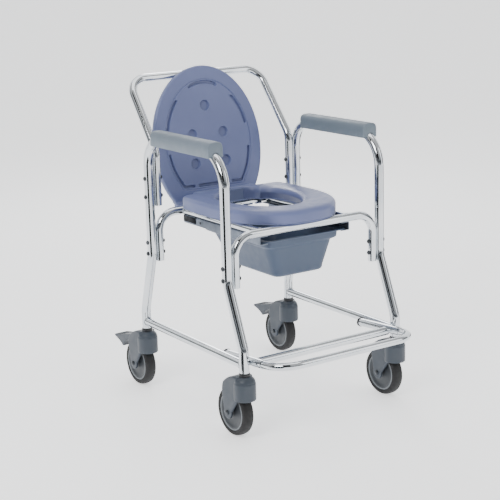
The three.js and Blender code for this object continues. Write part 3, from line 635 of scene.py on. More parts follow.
class Datum:
    """The frame's main places, read from the CAD nodes' boxes."""

    leg_r = 12.5
    bow_r = 11.0

    def __init__(self) -> None:
        """Reads the places from the loaded frame."""
        leg, back = Box("side_frame_left"), Box("back_bow")
        front, rear = Box("front_seat_arch"), Box("rear_seat_arch")
        self.leg_x = leg.mid.x
        self.front_axis = Box("castor_stem_front_left").mid.y
        self.rear_axis = Box("castor_stem_rear_left").mid.y
        self.front_post, self.rear_post = front.mid.y, rear.mid.y
        self.seat_z = front.high.z - self.bow_r
        self.arm_z, self.foot_z = leg.high.z - self.leg_r, leg.low.z
        self.bow_x = rear.high.x - self.bow_r
        self.arch_foot, self.back_foot = front.low.z, back.low.z
        self.back_y, self.back_z = back.high.y - self.bow_r, back.high.z - self.bow_r


@dataclass(frozen=True)
class Maker:
    """What each builder works with."""

    shop: Workshop
    at: Datum


# ---------------------------------------------------------------- frame


@dataclass(frozen=True)
class FrameTubes(Maker):
    """The bent tubes of the frame and the beads that weld them together."""

    knee_drop: float = 109
    ankle_rise: float = 53
    knee_bend: float = 60
    front_bend: float = 86
    rear_bend: float = 74
    arch_bend: float = 48
    back_knee_rise: float = 145
    back_knee_bend: float = 55
    back_corner_bend: float = 52
    back_taper: float = 4
    seat_rail_r: float = 10

    def side_frames(self) -> None:
        """Bends both side frames, each from one castor up over the arm and down to the other."""
        at = self.at
        knee, ankle = at.seat_z - self.knee_drop, at.foot_z + self.ankle_rise
        route = [(at.rear_axis, at.foot_z), (at.rear_axis, ankle), (at.rear_post, knee),
                 (at.rear_post, at.arm_z), (at.front_post, at.arm_z), (at.front_post, knee),
                 (at.front_axis, ankle), (at.front_axis, at.foot_z)]
        leg = [self.knee_bend] * 2
        bends = [*leg, self.rear_bend, self.front_bend, *leg]
        for name, sign in SIDES:
            shape = tube([(sign * at.leg_x, y, z) for y, z in route], at.leg_r, bends, sides=48)
            self.shop.make(f"bent_side_frame_{name}", shape, Look.CHROME, "frame", [f"side_frame_{name}"])

    def bow(self, name: str, node: str, half: Sequence[Point], bends: Sequence[float]) -> None:
        """Bends a tube from its left half's corners, given from its foot up."""
        corners = [*((-x, y, z) for x, y, z in half), *reversed(half)]
        shape = tube(corners, self.at.bow_r, [*bends, *reversed(bends)], sides=40)
        self.shop.make(name, shape, Look.CHROME, "frame", [node])

    def bows(self) -> None:
        """Bends the two seat arches, and the back bow that leans back above the posts."""
        at = self.at
        for name, y in (("front", at.front_post), ("rear", at.rear_post)):
            self.bow(f"bent_{name}_arch", f"{name}_seat_arch",
                     [(at.bow_x, y, at.arch_foot), (at.bow_x, y, at.seat_z)], [self.arch_bend])
        half = [(at.bow_x, at.rear_post, at.back_foot),
                (at.bow_x, at.rear_post, at.back_foot + self.back_knee_rise),
                (at.bow_x - self.back_taper, at.back_y, at.back_z)]
        self.bow("bent_back_bow", "back_bow", half, [self.back_knee_bend, self.back_corner_bend])

    def bar(self, node: str, ends: Sequence[Vector], radius: float, post_axis: Vector,
            post_radius: float) -> None:
        """Makes a straight tube between two round posts' centres, with a bead at each end."""
        start, end = ends
        heading = (end - start).normalized()
        inset = heading * math.sqrt(post_radius ** 2 - min(radius, post_radius) ** 2 * 0.9)
        straight = tube([start + inset, end - inset], radius)
        self.shop.make(f"tube_{node}", straight, Look.CHROME, "frame", [node])
        beads = weld_bead(start, heading, post_axis, radius, post_radius)
        beads.add(weld_bead(end, -heading, post_axis, radius, post_radius))
        self.shop.make(f"tube_{node}_welds", beads, Look.WELD, "frame")

    def rails(self) -> None:
        """Welds in the lower rails and the seat rails."""
        at = self.at
        for name, sign in SIDES:
            node = f"lower_rail_{name}"
            ends = [Vector((sign * at.leg_x, y, Box(node).mid.z)) for y in (at.front_axis, at.rear_axis)]
            self.bar(node, ends, at.bow_r, Vector((0, 0, 1)), at.leg_r)
            node = f"seat_rail_{name}"
            ends = [Vector((Box(node).mid.x, y, at.seat_z)) for y in (at.front_post, at.rear_post)]
            self.bar(node, ends, self.seat_rail_r, Vector((1, 0, 0)), at.bow_r)

    def build(self) -> None:
        """Builds every frame tube."""
        self.side_frames()
        self.bows()
        self.rails()


@dataclass(frozen=True)
class Fasteners(Maker):
    """The cross bolts through the frame's tubes and the screws under the arm pads."""

    head: float = 6
    washer: float = 0.9

    def cap(self, seat: float, height: float, way: int) -> Shape:
        """Turns a washer with a domed head on it.

        Args:
            seat: where the washer lies, along X.
            height: the dome's height against its half width, before it is squashed.
            way: 1 or -1, the side that it points to.
        """
        rim, top = self.head * 0.86, seat + self.washer
        dome = [(0.86 * r, top + 0.62 * h * height) for r, h in arc(self.head, 0, 90, 10)]
        dome[-1] = (0.0, dome[-1][1])
        profile = [(0.0, seat), (self.head, seat), (self.head, top), (rim, top), *dome]
        return turned([(r, way * h) for r, h in profile], "X", 24)

    def bolt(self) -> Shape:
        """Draws one bolt along X from its inner dome to its outer cap nut, with a washer under each."""
        outer = self.at.leg_r + 0.1
        inner = self.at.leg_r + GAP + 2 * self.at.bow_r + 0.1
        return self.cap(outer, 0.9, 1).add(self.cap(inner, 1.1, -1)).add(rod(3, -inner, outer, "X", 12))

    def build(self) -> None:
        """Sets every bolt and screw."""
        names = [f"{kind}_{i}" for kind in ("front_arch_bolt", "rear_arch_bolt", "back_bolt") for i in (1, 2)]
        for name, sign in SIDES:
            nodes = [f"{n}_{name}" for n in names]
            spots = [Vector((sign * self.at.leg_x, Box(node).mid.y, Box(node).mid.z)) for node in nodes]
            self.shop.scatter(f"cross_bolts_{name}", self.bolt().on(sign), spots, Look.BOLT, "frame", nodes)
            nodes = [f"pad_screw_{i}_{name}" for i in (1, 2)]
            boxes = [Box(node) for node in nodes]
            height = boxes[-1].high.z - boxes[-1].low.z
            profile = [(0, 0.3), (1.2, 0.3), (1.8, 0), (3, 0.3), (3.5, 1), (3.5, height), (0, height)]
            spots = [Vector((box.mid.x, box.mid.y, box.low.z)) for box in boxes]
            screw = turned(profile, "Z", 24)
            self.shop.scatter(f"pad_screws_{name}", screw, spots, Look.BOLT, "frame", nodes)


@dataclass(frozen=True)
class Footrest(Maker):
    """The sliding footrest, its sloping guide sleeves, their end plugs and the crossbar between them."""

    radius: float = 9.5
    guide_r: float = 11
    bend: float = 64
    slope: float = math.radians(4.5)
    rise: float = 24
    behind: float = 108
    ahead: float = 48
    reach: float = 116
    end: float = 12

    def on_guide(self, sign: int, back: float) -> Point:
        """Returns the point of a sleeve's axis that lies some way behind the front swivel axes."""
        x = self.at.leg_x - self.at.leg_r - GAP - self.guide_r
        return sign * x, self.at.front_axis + back, self.at.foot_z + self.rise - back * math.tan(self.slope)

    def build(self) -> None:
        """Builds the footrest and what holds it."""
        backs = [self.behind - self.end, -self.reach]
        corners = [*(self.on_guide(-1, back) for back in backs),
                   *(self.on_guide(1, back) for back in reversed(backs))]
        self.shop.make("bent_footrest", tube(corners, self.radius, [self.bend] * 2), Look.CHROME, "footrest",
                       ["footrest"])
        for name, sign in SIDES:
            rear, front = self.on_guide(sign, self.behind), self.on_guide(sign, -self.ahead)
            sleeve = tube([rear, front], self.guide_r, wall=self.guide_r - self.radius - GAP)
            self.shop.make(f"guide_sleeve_{name}", sleeve, Look.CHROME, "frame", [f"footrest_guide_{name}"])
            self.plug(name, rear)
        self.crossbar()

    def plug(self, name: str, end: Point) -> None:
        """Makes the rounded black plug in a sleeve's rear end."""
        rim, spigot = self.guide_r + 1.1, self.radius - GAP
        profile = [(0, -8), (spigot - 1, -8), (spigot, -7), (spigot, GAP), (rim - 0.4, GAP), (rim, 0.8),
                   (rim, 5.5), (rim - 0.8, 7.6), (rim - 2.8, 9.2), (rim - 6, 9.9), (0, 10)]
        turn = Matrix.Translation(end) @ Matrix.Rotation(-self.slope, 4, "X")
        self.shop.make(f"sleeve_plug_{name}", turned(profile, "Y", 40).moved(turn), Look.BLACK, "frame",
                       [f"guide_plug_{name}"])

    def crossbar(self) -> None:
        """Welds the crossbar to the sleeves."""
        y, z = Box("front_crossbar").mid.yz
        x, _, guide_z = self.on_guide(1, 0)
        bar = tube([(-x + 4, y, z), (x - 4, y, z)], self.at.bow_r)
        self.shop.make("tube_crossbar", bar, Look.CHROME, "frame", ["front_crossbar"])
        beads = Shape()
        for _, sign in SIDES:
            beads.add(weld_bead(Vector((sign * x, y, (z + guide_z) / 2)), Vector((-sign, 0, 0)),
                                Vector((0, 1, 0)), self.at.bow_r - 1, self.guide_r))
        self.shop.make("tube_crossbar_welds", beads, Look.WELD, "frame")


# ---------------------------------------------------------------- seat, lid, pan and arm pads


@dataclass(frozen=True)
class Seat(Maker):
    """The moulded seat ring with its dished hole, rear tab and tube clips."""

    overhang_front: float = 24
    rear_gap: float = 26
    hole_half: float = 101
    hole_length: float = 262
    hole_rim: float = 92
    dish: float = 15
    tab_half: float = 93
    clip_half: float = 15
    clip_out: float = 15.3

    def ring(self, low_z: float, high_z: float, half: float) -> Shape:
        """Lofts the ring round its hole, from points of (share of the way in, height)."""
        front = self.at.front_post - self.overhang_front
        hole_front = front + self.hole_rim
        outer = Egg(half, half - 9, self.at.rear_post - self.rear_gap, front, 14, 0.06).loop(240)
        hole = Egg(self.hole_half, self.hole_half * 0.55, hole_front + self.hole_length, hole_front, 40)
        inner = hole.facing(outer, hole_front + self.hole_length / 2)
        section = [(0.06, low_z), (0.01, low_z + 3), (0.0, low_z + 9)]
        section += [(share, high_z - drop) for share, drop in (
            (0.0, 13), (0.03, 5.5), (0.11, 1.4), (0.28, 0.2), (0.45, 0), (0.66, 0.9), (0.84, 3.6),
            (0.95, 8.2), (1.0, self.dish), (0.995, self.dish + 4))]
        section += [(0.97, low_z + 4), (0.94, low_z + 2)]
        return skin([[Vector((*bezier((a, b), t), z)) for a, b in zip(outer, inner)]
                     for t, z in smooth_profile(section, 4)], loop=True)

    def tab(self, low_z: float, high_z: float) -> Shape:
        """Makes the tab that runs back over the hinge tube."""
        rear = self.at.rear_post
        inner = rear - self.rear_gap - 12
        outline = [(inner, low_z + 1), (rear + 21, low_z + 1), (rear + 23.4, low_z + 4),
                   (rear + 24, low_z + 12), (rear + 22.6, low_z + 20), (rear + 19, high_z - 8),
                   (rear + 14, high_z - 6.4), (rear, high_z - 5.4), (inner, high_z - 4)]
        return plate(outline, -self.tab_half, self.tab_half, 3)

    def hook(self, centre_x: float) -> Shape:
        """Makes one hook round the hinge tube, open towards the front below."""
        outline = clip(self.at.bow_r + GAP, self.clip_out, -100, 155, 30)
        hook = extruded(outline, centre_x - self.clip_half, centre_x + self.clip_half)
        return hook.at(0, self.at.rear_post, self.at.seat_z)

    def build(self) -> None:
        """Builds the seat as one moulding."""
        box = Box("seat_ring")
        low_z = self.at.seat_z + self.at.bow_r + GAP
        shape = self.ring(low_z, box.high.z, box.high.x)
        shape.add(self.tab(low_z, box.high.z))
        for _, sign in SIDES:
            shape.add(self.hook(sign * (self.tab_half - 21)))
        self.shop.make("moulded_seat", shape, Look.SEAT, "seat", ["seat_ring"], 50)


@dataclass(frozen=True)
class Lid(Maker):
    """The lid, standing raised at rest, with a recessed pattern on its underside.

    It is drawn closed, with its hinge at the origin, and then raised.
    """

    rise: float = 50
    thick: float = 20
    length: float = 373
    half: float = 172
    rear_half: float = 130
    arm_x: float = 111
    arm_width: float = 28
    clip_width: float = 17
    groove_at: float = 0.815
    groove_depth: float = 2.2
    slot_at: float = 0.7725
    slot_half: float = 5
    slot_depth: float = 7
    dimple_r: float = 15
    dimple_depth: float = 7.5
    dimples: Profile = ((0, 273), (50, 196), (-50, 196), (50, 116), (-50, 116))

    @staticmethod
    def soft_step(inside: float) -> float:
        """Rises smoothly from 0 at a recess's edge to 1 a little way in."""
        share = min(max(inside / 1.3, 0.0), 1.0)
        return share * share * (3 - 2 * share)

    def dimple(self, x: float, back: float) -> float:
        """Returns how deep the round dimples are at a point, given from the hinge's middle."""
        away = min(math.hypot(x - a, back - b) for a, b in self.dimples)
        return self.dimple_depth * self.soft_step(self.dimple_r - away)

    def slot(self, x: float, back: float, aside: float) -> float:
        """Returns how deep the long slots are at a point.

        Args:
            x: from the lid's middle line.
            back: from the hinge.
            aside: from the slots' own line, which follows the lid's outline.
        """
        across = abs(x)
        tip = min(46 - across, back - 300)
        upper = min(back - 212, 294 - back)
        lower = min(back - 50, 150 - back, across - 60)
        base = min(50 - across, 80 - back)
        short = max(self.slot_half - max(tip, upper, lower, base), 0.0)
        return self.slot_depth * self.soft_step(self.slot_half - math.hypot(short, aside))

    def face(self, egg: Egg, count: int, rings: int) -> list[list[Vector]]:
        """Makes rings across the underside, from near its middle to its rim, dented by the recesses."""
        loop = egg.loop(count)
        middle = (egg.rear + egg.front) / 2
        result = []
        for share in (k / rings for k in range(1, rings + 1)):
            groove = self.groove_depth * max(0.0, 1 - abs(share - self.groove_at) / 0.011)
            ring = []
            for x, y in loop:
                px, py = x * share, middle + (y - middle) * share
                aside = (share - self.slot_at) * math.hypot(x, y - middle)
                depth = max(self.dimple(px, -py), self.slot(px, -py, aside), groove)
                ring.append(Vector((px, py, self.rise + depth)))
            result.append(ring)
        return result

    def panel(self) -> Shape:
        """Lofts the lid's plate."""
        rear = -10
        egg = Egg(self.half, self.rear_half, rear, rear - self.length, 14)
        count = 420
        rings = self.face(egg.grown(-4.2), count, 170)
        for inset, height in ((3.2, 0.3), (1.6, 1.3), (0.5, 3.0), (0.0, 5.2), (0.0, 12.0), (0.7, 14.6),
                              (2.2, 16.9), (4.8, 18.6), (8.5, 19.5), (16, 20.0)):
            rings.append([Vector((x, y, self.rise + height)) for x, y in egg.grown(-inset).loop(count)])
        middle = rear - self.length / 2
        loop = egg.grown(-16).loop(count)
        for share in (0.8, 0.5, 0.2):
            rings.append([Vector((x * share, middle + (y - middle) * share, self.rise + self.thick))
                          for x, y in loop])
        return skin(rings)

    def arm(self, sign: int) -> Shape:
        """Makes one hinge arm and its clip."""
        low, high = sorted(sign * (self.arm_x + k * self.arm_width / 2) for k in (-1, 1))
        shape = plate([(-12, 12.5), (12, 12.5), (13, 20), (12.4, 50), (10.5, 58), (6, 65), (-8, 68.2),
                       (-24, 68.4), (-24, 51), (-15, 48.5), (-12, 43)], low, high, 1.6)
        inner_r = self.at.bow_r + GAP
        inner_x = sign * (self.arm_x - self.arm_width / 2)
        return shape.add(extruded(clip(inner_r, inner_r + 4, -24, 264, 34),
                                  *sorted((inner_x, inner_x + sign * self.clip_width))))

    def lean(self) -> float:
        """Works out how far the raised lid leans back until it rests on the back bow."""
        at = self.at
        run, rise = at.back_y - at.rear_post, at.back_z - at.seat_z
        rest = self.rise + self.thick + at.bow_r + GAP
        return math.acos(rest / math.hypot(run, rise)) - math.atan2(rise, run)

    def build(self) -> None:
        """Builds the lid and raises it."""
        shape = self.panel()
        for _, sign in SIDES:
            shape.add(self.arm(sign))
        raise_it = Matrix.Translation((0, self.at.rear_post, self.at.seat_z)) @ Matrix.Rotation(
            -(math.pi / 2 + self.lean()), 4, "X")
        self.shop.make("moulded_lid", shape.moved(raise_it), Look.SEAT, "lid", ["lid"], 50)


@dataclass(frozen=True)
class Pan(Maker):
    """The slide-out pan and the channels that it hangs in."""

    wall: float = 2.5
    ledge: float = 24
    step: float = 12
    draft: float = 23
    flange: float = 3
    heel: float = 12
    # Length of the painted-shade strip on each runner's rear.
    strip: float = 62
    screw_ahead: float = 22
    sheet: float = 1.8
    fold: float = 2.6

    def build(self) -> None:
        """Builds the pan and its two runners."""
        runner = Box("pan_runner_left")
        self.bowl(Box("pan"), runner.low.x - 2)
        for name, sign in SIDES:
            self.runner(name, sign, runner)

    def bowl(self, box: Box, half: float) -> None:
        """Lofts the bowl from its base, up the outside, over the flange and down the inside."""
        (wide, rear, top), front = box.high, box.low.y
        ledge, step, wall = top - self.ledge, self.step, self.wall
        deep = step + self.draft

        def ring(inset: float, ahead: float, behind: float, radius: float, z: float) -> list[Vector]:
            return rounded_rectangle(half - inset, front + ahead, rear - behind, radius, z)

        def heel(size: float, corner: float, growth: float, skin_in: float) -> list[list[Vector]]:
            """Rounds the walls into the base, from the base up."""
            rings = []
            for k in range(7):
                angle = math.radians(15 * k)
                inset = deep + size * (1 - math.sin(angle)) + skin_in
                rings.append(ring(inset, inset - 0.4 * deep, inset + deep, corner + growth * k / 6,
                                  box.low.z + skin_in + size * (1 - math.cos(angle))))
            return rings

        rings = heel(self.heel, 14, 10, 0)
        # The outside: straight drafted walls, the ledge and the upper band.
        rings += [ring(*numbers) for numbers in (
            (step + 0.6, step + 0.4, 3 * step + 0.6, 28, ledge - 3),
            (step - 1.2, step - 1, 3 * step - 1.5, 28, ledge + 0.6),
            (4, 5.4, 9, 24, ledge + 4.2),
            (2.2, 4.2, 6.4, 22, ledge + 6),
            (1.6, 3.8, 5.6, 22, ledge + 9),
            (0.2, 3.2, 4.2, 22, top - self.flange - 0.6))]
        # The flange, wide enough for the channels, with a rounded lip.
        for inset, z in ((2, -3.0), (0.6, -2.8), (0, -2.0), (0, -1.0), (0.6, -0.2), (2, 0.0)):
            rings.append(rounded_rectangle(wide - inset, front + inset, rear - inset, 22, top + z))
        # The inside, down to the floor of the pan.
        for inset, ahead, behind, radius, z in (
                (0.2, 3, 4, 20, top),
                (1.2, 3.6, 5, 20, top - 2),
                (2.4, 4.6, 7, 20, ledge + 8 + wall),
                (step - 1, step, 3 * step, 26, ledge + wall),
                (step + 1, step + 1, 3 * step + 2, 26, ledge - 3)):
            rings.append(ring(wall + inset, wall + ahead, wall + behind, radius, z))
        rings += reversed(heel(self.heel - 2, 12, 9, wall))
        self.shop.make("moulded_pan", skin(rings), Look.PAN, "pan", ["pan"], 50)

    def runner(self, name: str, sign: int, box: Box) -> None:
        """Makes one folded channel, with a dark strip of painted shade and the fixing screw outside its rear.
        """
        inner, outer, bottom, top = box.low.x, box.high.x, box.low.z, box.high.z

        def corners(radius: float) -> list[tuple[float, float]]:
            """Rounds the channel's two folds, from the lower to the upper."""
            lower = arc(radius, -90, 0, 6, outer - self.fold, bottom + self.fold)
            return [*lower, *arc(radius, 0, 90, 6, outer - self.fold, top - self.fold)]

        section = [(inner, bottom), *corners(self.fold), (inner, top), (inner, top - self.sheet),
                   *reversed(corners(self.fold - self.sheet)), (inner, bottom + self.sheet)]
        channel = skin([[Vector((x, y, z)) for x, z in section] for y in (box.high.y, box.low.y)])
        self.shop.make(f"folded_runner_{name}", channel.on(sign), Look.RUNNER, "frame",
                       [f"pan_runner_{name}"], 30)
        # Painted shade: a dark strip laid outside the channel's rear stands for the reflection of the shaded
        # space under the seat. It is not a part of its own.
        start, end = box.high.y - self.strip, box.high.y - 1
        strip = plate([(end, bottom + 5), (end, top - 1), (start, top - 1), (start, bottom + 5)],
                      outer + 0.1, outer + 1.3, 0.4)
        self.shop.make(f"runner_strip_{name}", strip.on(sign), Look.PAINTED_SHADE_STRIP, "frame")
        screw = turned([(0, 0), (3.4, 0), (3.4, 0.8), (2.4, 1.9), (0, 2.2)], "X", 24)
        screw = screw.at(outer, start - self.screw_ahead, box.mid.z)
        self.shop.make(f"runner_screw_{name}", screw.on(sign), Look.BOLT, "frame")


@dataclass(frozen=True)
class ArmPads(Maker):
    """The crowned mouldings that straddle the arm tubes."""

    rise: float = 24
    drop: float = 14
    half: float = 22
    foot: float = 1.4
    crown: float = 8

    def section(self, pinch: float, sink: float, stretch: float) -> list[tuple[float, float]]:
        """Draws the section across the arm.

        Args:
            pinch: how far the outside is drawn in, for the rounded ends.
            sink: how far the arm tube has bent down.
            stretch: how much taller the bending tube's section is than it is wide.
        """
        room, half, foot = self.at.leg_r + GAP, self.half - pinch, self.foot
        low = -self.drop + 0.4 * pinch
        # The crown is a squashed quarter round on a short upright side.
        height = self.rise - pinch - self.crown
        outer = [(half * c ** 0.55, self.crown + height * s ** 0.9) for c, s in arc(1, 0, 90, 12)]
        left = [(-x, z) for x, z in reversed(outer[:-1])]
        channel = [(-room * c, max(room * stretch * s - sink, low + foot)) for c, s in arc(1, 0, 180, 24)]
        return [(room, low + foot), (room + foot, low), (half - foot, low), (half, low + foot), *outer, *left,
                (-half, low + foot), (-half + foot, low), (-room - foot, low), (-room, low + foot), *channel]

    def bent(self, y: float) -> tuple[float, float]:
        """Works out how far the arm tube has bent down at y, and how much taller its section is there."""
        front, rear = FrameTubes.front_bend, FrameTubes.rear_bend
        for run, radius in ((self.at.front_post + front - y, front), (y - self.at.rear_post + rear, rear)):
            if run > 0:
                height = math.sqrt(radius ** 2 - run ** 2)
                return radius - height, radius / height
        return 0.0, 1.0

    def build(self) -> None:
        """Builds both pads."""
        box = Box("arm_pad_left")
        ends = [(0.0, 3.4), (0.5, 2.2), (1.4, 1.1), (2.8, 0.3), (4.5, 0.0)]
        steps = [(box.high.y - run, pinch) for run, pinch in ends]
        steps += [(box.high.y - run, 0.0) for run in (8, 12, 16, 20)]
        steps += [(box.low.y + run, 0.0) for run in (52, 44, 36, 29, 22, 16, 10)]
        steps += [(box.low.y + run, pinch) for run, pinch in reversed(ends)]
        for name, sign in SIDES:
            rings = [[Vector((sign * self.at.leg_x + x, y, self.at.arm_z + z))
                      for x, z in self.section(pinch, *self.bent(y))] for y, pinch in steps]
            self.shop.make(f"moulded_pad_{name}", skin(rings), Look.PAD, "frame", [f"arm_pad_{name}"], 45)


# ---------------------------------------------------------------- castors


@dataclass(frozen=True)
class CastorKit(Maker):
    """Draws a castor's parts once, about its swivel axis on the floor, and sets four of them."""

    wheel_r: float = 62.5
    half_width: float = 15
    rim_r: float = 49.5
    trail: float = 44
    fork_r: float = 28
    fork_half: float = 25
    fork_top: float = 163.5
    skirt: float = 103
    wheel_room: float = 3.5
    barrel_r: float = 7.5
    pedal_half: float = 21
    pedal_reach: float = 158
    pedal_turn: float = math.radians(8)
    shaft_reach: float = 40

    @property
    def pivot(self) -> tuple[float, float]:
        """The pedal's pivot, behind the swivel axis and above the floor."""
        return 60, self.fork_top - 27.5

    def fork(self, braked: bool) -> Shape:
        """Carves the fork: a round hood and two cheeks, melted together round the wheel's room."""
        top, (py, pz) = self.fork_top, self.pivot
        hub = (0, self.trail, self.wheel_r)
        profile = [(0, self.skirt), (0, top - 0.3),
                   *curve((15, top - 0.3), (45, top - 6), (py + 4, top - 25)),
                   *curve((py + 4, top - 25), (py + 11.5, top - 38), (py + 9.6, top - 60)),
                   *curve((59, 58), (50, 45), (38, 50.5))]
        side = self.fork_half - 0.4
        cheeks = plate(profile[::-1], -side, side, 5)
        hood = turned([(0, self.skirt), (self.fork_r - 1.2, self.skirt), (self.fork_r - 0.4, self.skirt + 1),
                       *[(self.fork_r - inset, top - drop) for inset, drop in (
                           (0.4, 17), (1.6, 16), (1.6, 13.5), (2.4, 10), (5, 6), (9, 2.6), (12, 0.4))],
                       (0, top - 0.4)], "Z", 72)
        face = [(16.5, side - 1), (16, side - 0.1), (0, side - 0.1)]
        boss = turned([*[(r, -h) for r, h in reversed(face)], *face], "X", 48).at(*hub)
        room, width = self.wheel_r + self.wheel_room, self.half_width + self.wheel_room
        # The wheel's room, the shoulder that falls away behind the hood, and the kingpin's and axle's holes.
        slope = [(30, top + 20), (30, top + 1), (44, top - 5.5), (70, top - 20), (120, top - 34),
                 (120, top + 20)]
        cuts = [rod(room, -width, width, "X", 96).at(*hub), plate(slope, -40, 40, 0.1),
                rod(5.4, 100, 170, "Z", 24), rod(4.4, -self.shaft_reach, self.shaft_reach, "X", 24).at(*hub)]
        if braked:
            width = self.pedal_half + 0.8
            neck = [(py, pz), (py, pz - 9), (py + 42, pz - 50), (py + 80, pz - 50), (py + 80, pz + 30),
                    (py + 17, pz + 30)]
            cuts += [plate(neck, -width, width, 0.1),
                     rod(self.barrel_r + 0.8, -width, width, "X", 36).at(0, py, pz)]
        return carved("fork", [cheeks, hood, boss], cuts, 1.1, 4)

    def pedal(self) -> Shape:
        """Carves the beak-shaped brake pedal on its barrel, clear of the tyre when it is pressed."""
        (y, z), reach = self.pivot, self.pedal_reach
        profile = [*curve((y, z + 6.5), (y + 40, z - 4.6), (reach - 6.5, z - 14.6)),
                   (reach - 3, z - 15.6), (reach - 0.8, z - 18.5),
                   *curve((reach - 0.8, z - 20), (reach - 34, z - 29), (reach - 52, z - 43)),
                   (y + 42, z - 43), (y + 36, z - 26), (y, z - 5.5)]
        half = self.pedal_half - 0.4
        lever = plate(profile[::-1], -half, half, 3.5)
        barrel = rod(self.barrel_r - 0.3, -half, half, "X", 36).at(0, y, z)
        clear = self.wheel_r + self.wheel_room / 2 + 0.5
        resting = rod(clear, -self.shaft_reach, self.shaft_reach, "X", 96).at(0, self.trail, self.wheel_r)
        to_pivot = Matrix.Translation((0, y, z))
        pressed = to_pivot @ Matrix.Rotation(self.pedal_turn, 4, "X") @ to_pivot.inverted()
        # A shallow scoop in the top takes the tread.
        scoop = plate([(reach - 8, z + 10), (reach - 11, z - 14.4), (reach - 30, z - 12.2),
                       (reach - 56, z - 5.4), (reach - 56, z + 10)], 4 - half, half - 4, 1)
        return carved("pedal", [lever, barrel], [resting, resting.moved(pressed), scoop], 1.0, 3)

    def tread(self) -> tuple[Shape, list[Vector]]:
        """Draws one rib of the pedal's dark tread, and where the ribs go."""
        half = self.pedal_half - 5.6
        rib = extruded([(1.3 * math.cos(a), 0.9 * math.sin(a)) for a in round_angles(12)], -half, half)
        spots = [Vector((0, self.pedal_reach - 52 + 40 * t, self.pivot[1] - 6.2 - 8.0 * (1 - (1 - t) ** 1.7)))
                 for t in (k / 11 for k in range(12))]
        return rib, spots

    def wheel(self) -> Shape:
        """Turns the wheel centre."""
        half = self.half_width
        face = [(r, half - dip) for r, dip in (
            (4.3, 0), (9.4, 0), (10, 0.6), (11, 3), (15, 4.6), (30, 5.4), (38, 5.0), (40.5, 3.4), (42, 2.8),
            (self.rim_r - GAP, 2.8))]
        return turned(both_faces(face), "X", 96)

    def ring(self) -> Shape:
        """Turns the pale ring on each face of the wheel."""
        low = self.half_width - 2.75
        ring = [(r, low + out) for r, out in (
            (45.2, 0), (45.5, 1.2), (46.2, 1.9), (47.6, 1.9), (48.3, 1.2), (48.6, 0))]
        return turned(ring, "X", 96).add(turned([(r, -h) for r, h in ring], "X", 96))

    def tyre(self) -> Shape:
        """Turns the round-shouldered tyre, with a fine groove on each shoulder."""
        half, rim, shoulder = self.half_width, self.rim_r, self.rim_r + 6.3
        crown = [(rim + out, half - dip) for out, dip in (
            (0, 1.2), (0.8, 0.5), (2.5, 0.1), (5, 0.1), (5.4, 0.7), (5.9, 0.7), (6.3, 0.25))]
        crown += [(shoulder + (self.wheel_r - shoulder) * s, (half - 0.3) * max(c, 0.0) ** 0.75)
                  for c, s in arc(1, 4, 90, 11)]
        return turned([*crown, *[(r, -h) for r, h in reversed(crown[:-1])]], "X", 128)

    def stem(self) -> Shape:
        """Turns the black collar, its plug in the leg and the kingpin below."""
        top, foot = self.fork_top, self.at.foot_z
        collar, plug = self.at.leg_r + 1.4, self.at.leg_r - 1.5 - GAP
        return turned([(0, 138), (4.4, 138), (5, 138.8), (5, top + GAP), (collar - 1, top + GAP),
                       (collar, top + 1.2), (collar, foot - 2.2), (collar - 0.6, foot - 0.8),
                       (collar - 1.6, foot - GAP), (plug, foot - GAP), (plug, foot + 40), (0, foot + 40)],
                      "Z", 48)

    def axle(self) -> Shape:
        """Turns the axle with its domed heads."""
        head = [(r, self.fork_half + 0.35 + out)
                for r, out in ((4, 0), (6, 0), (6, 1), (5.4, 2.4), (3.4, 3.6), (0, 3.9))]
        return turned([*[(r, -h) for r, h in reversed(head)], *head], "X", 32)

    def build(self) -> None:
        """Builds all four castors, the rear pair with pedals."""
        forks = {False: self.fork(False), True: self.fork(True)}
        wheel, ring, tyre, axle = (part.at(0, self.trail, self.wheel_r)
                                   for part in (self.wheel(), self.ring(), self.tyre(), self.axle()))
        stem, pedal = self.stem(), self.pedal()
        rib, rib_spots = self.tread()
        for end, y in (("front", self.at.front_axis), ("rear", self.at.rear_axis)):
            for side, sign in SIDES:
                name, braked = f"{end}_{side}", end == "rear"
                spot = (sign * self.at.leg_x, y, 0)
                fork_body, wheel_body, pedal_body = f"castor_{name}", f"wheel_{name}", f"pedal_{name}"
                for piece, shape, look, body, node, angle in (
                        ("moulded_fork", forks[braked], Look.CASTOR, fork_body, "castor_fork", 60),
                        ("turned_axle", axle, Look.BOLT, fork_body, "castor_axle", 40),
                        ("turned_stem", stem, Look.BLACK, "frame", "castor_stem", 40),
                        ("wheel_centre", wheel, Look.WHEEL, wheel_body, "castor_wheel", 40),
                        ("wheel_ring", ring, Look.RING, wheel_body, None, 40),
                        ("rubber_tyre", tyre, Look.TYRE, wheel_body, "castor_tyre", 40)):
                    nodes = [f"{node}_{name}"] if node else []
                    self.shop.make(f"{piece}_{name}", shape.at(*spot), look, body, nodes, angle)
                if braked:
                    self.shop.make(f"moulded_pedal_{name}", pedal.at(*spot), Look.CASTOR, pedal_body,
                                   [f"brake_pedal_{name}"], 60)
                    spots = [Vector(spot) + s for s in rib_spots]
                    self.shop.scatter(f"pedal_tread_{name}", rib, spots, Look.TREAD, pedal_body)


# ---------------------------------------------------------------- studio, in metres


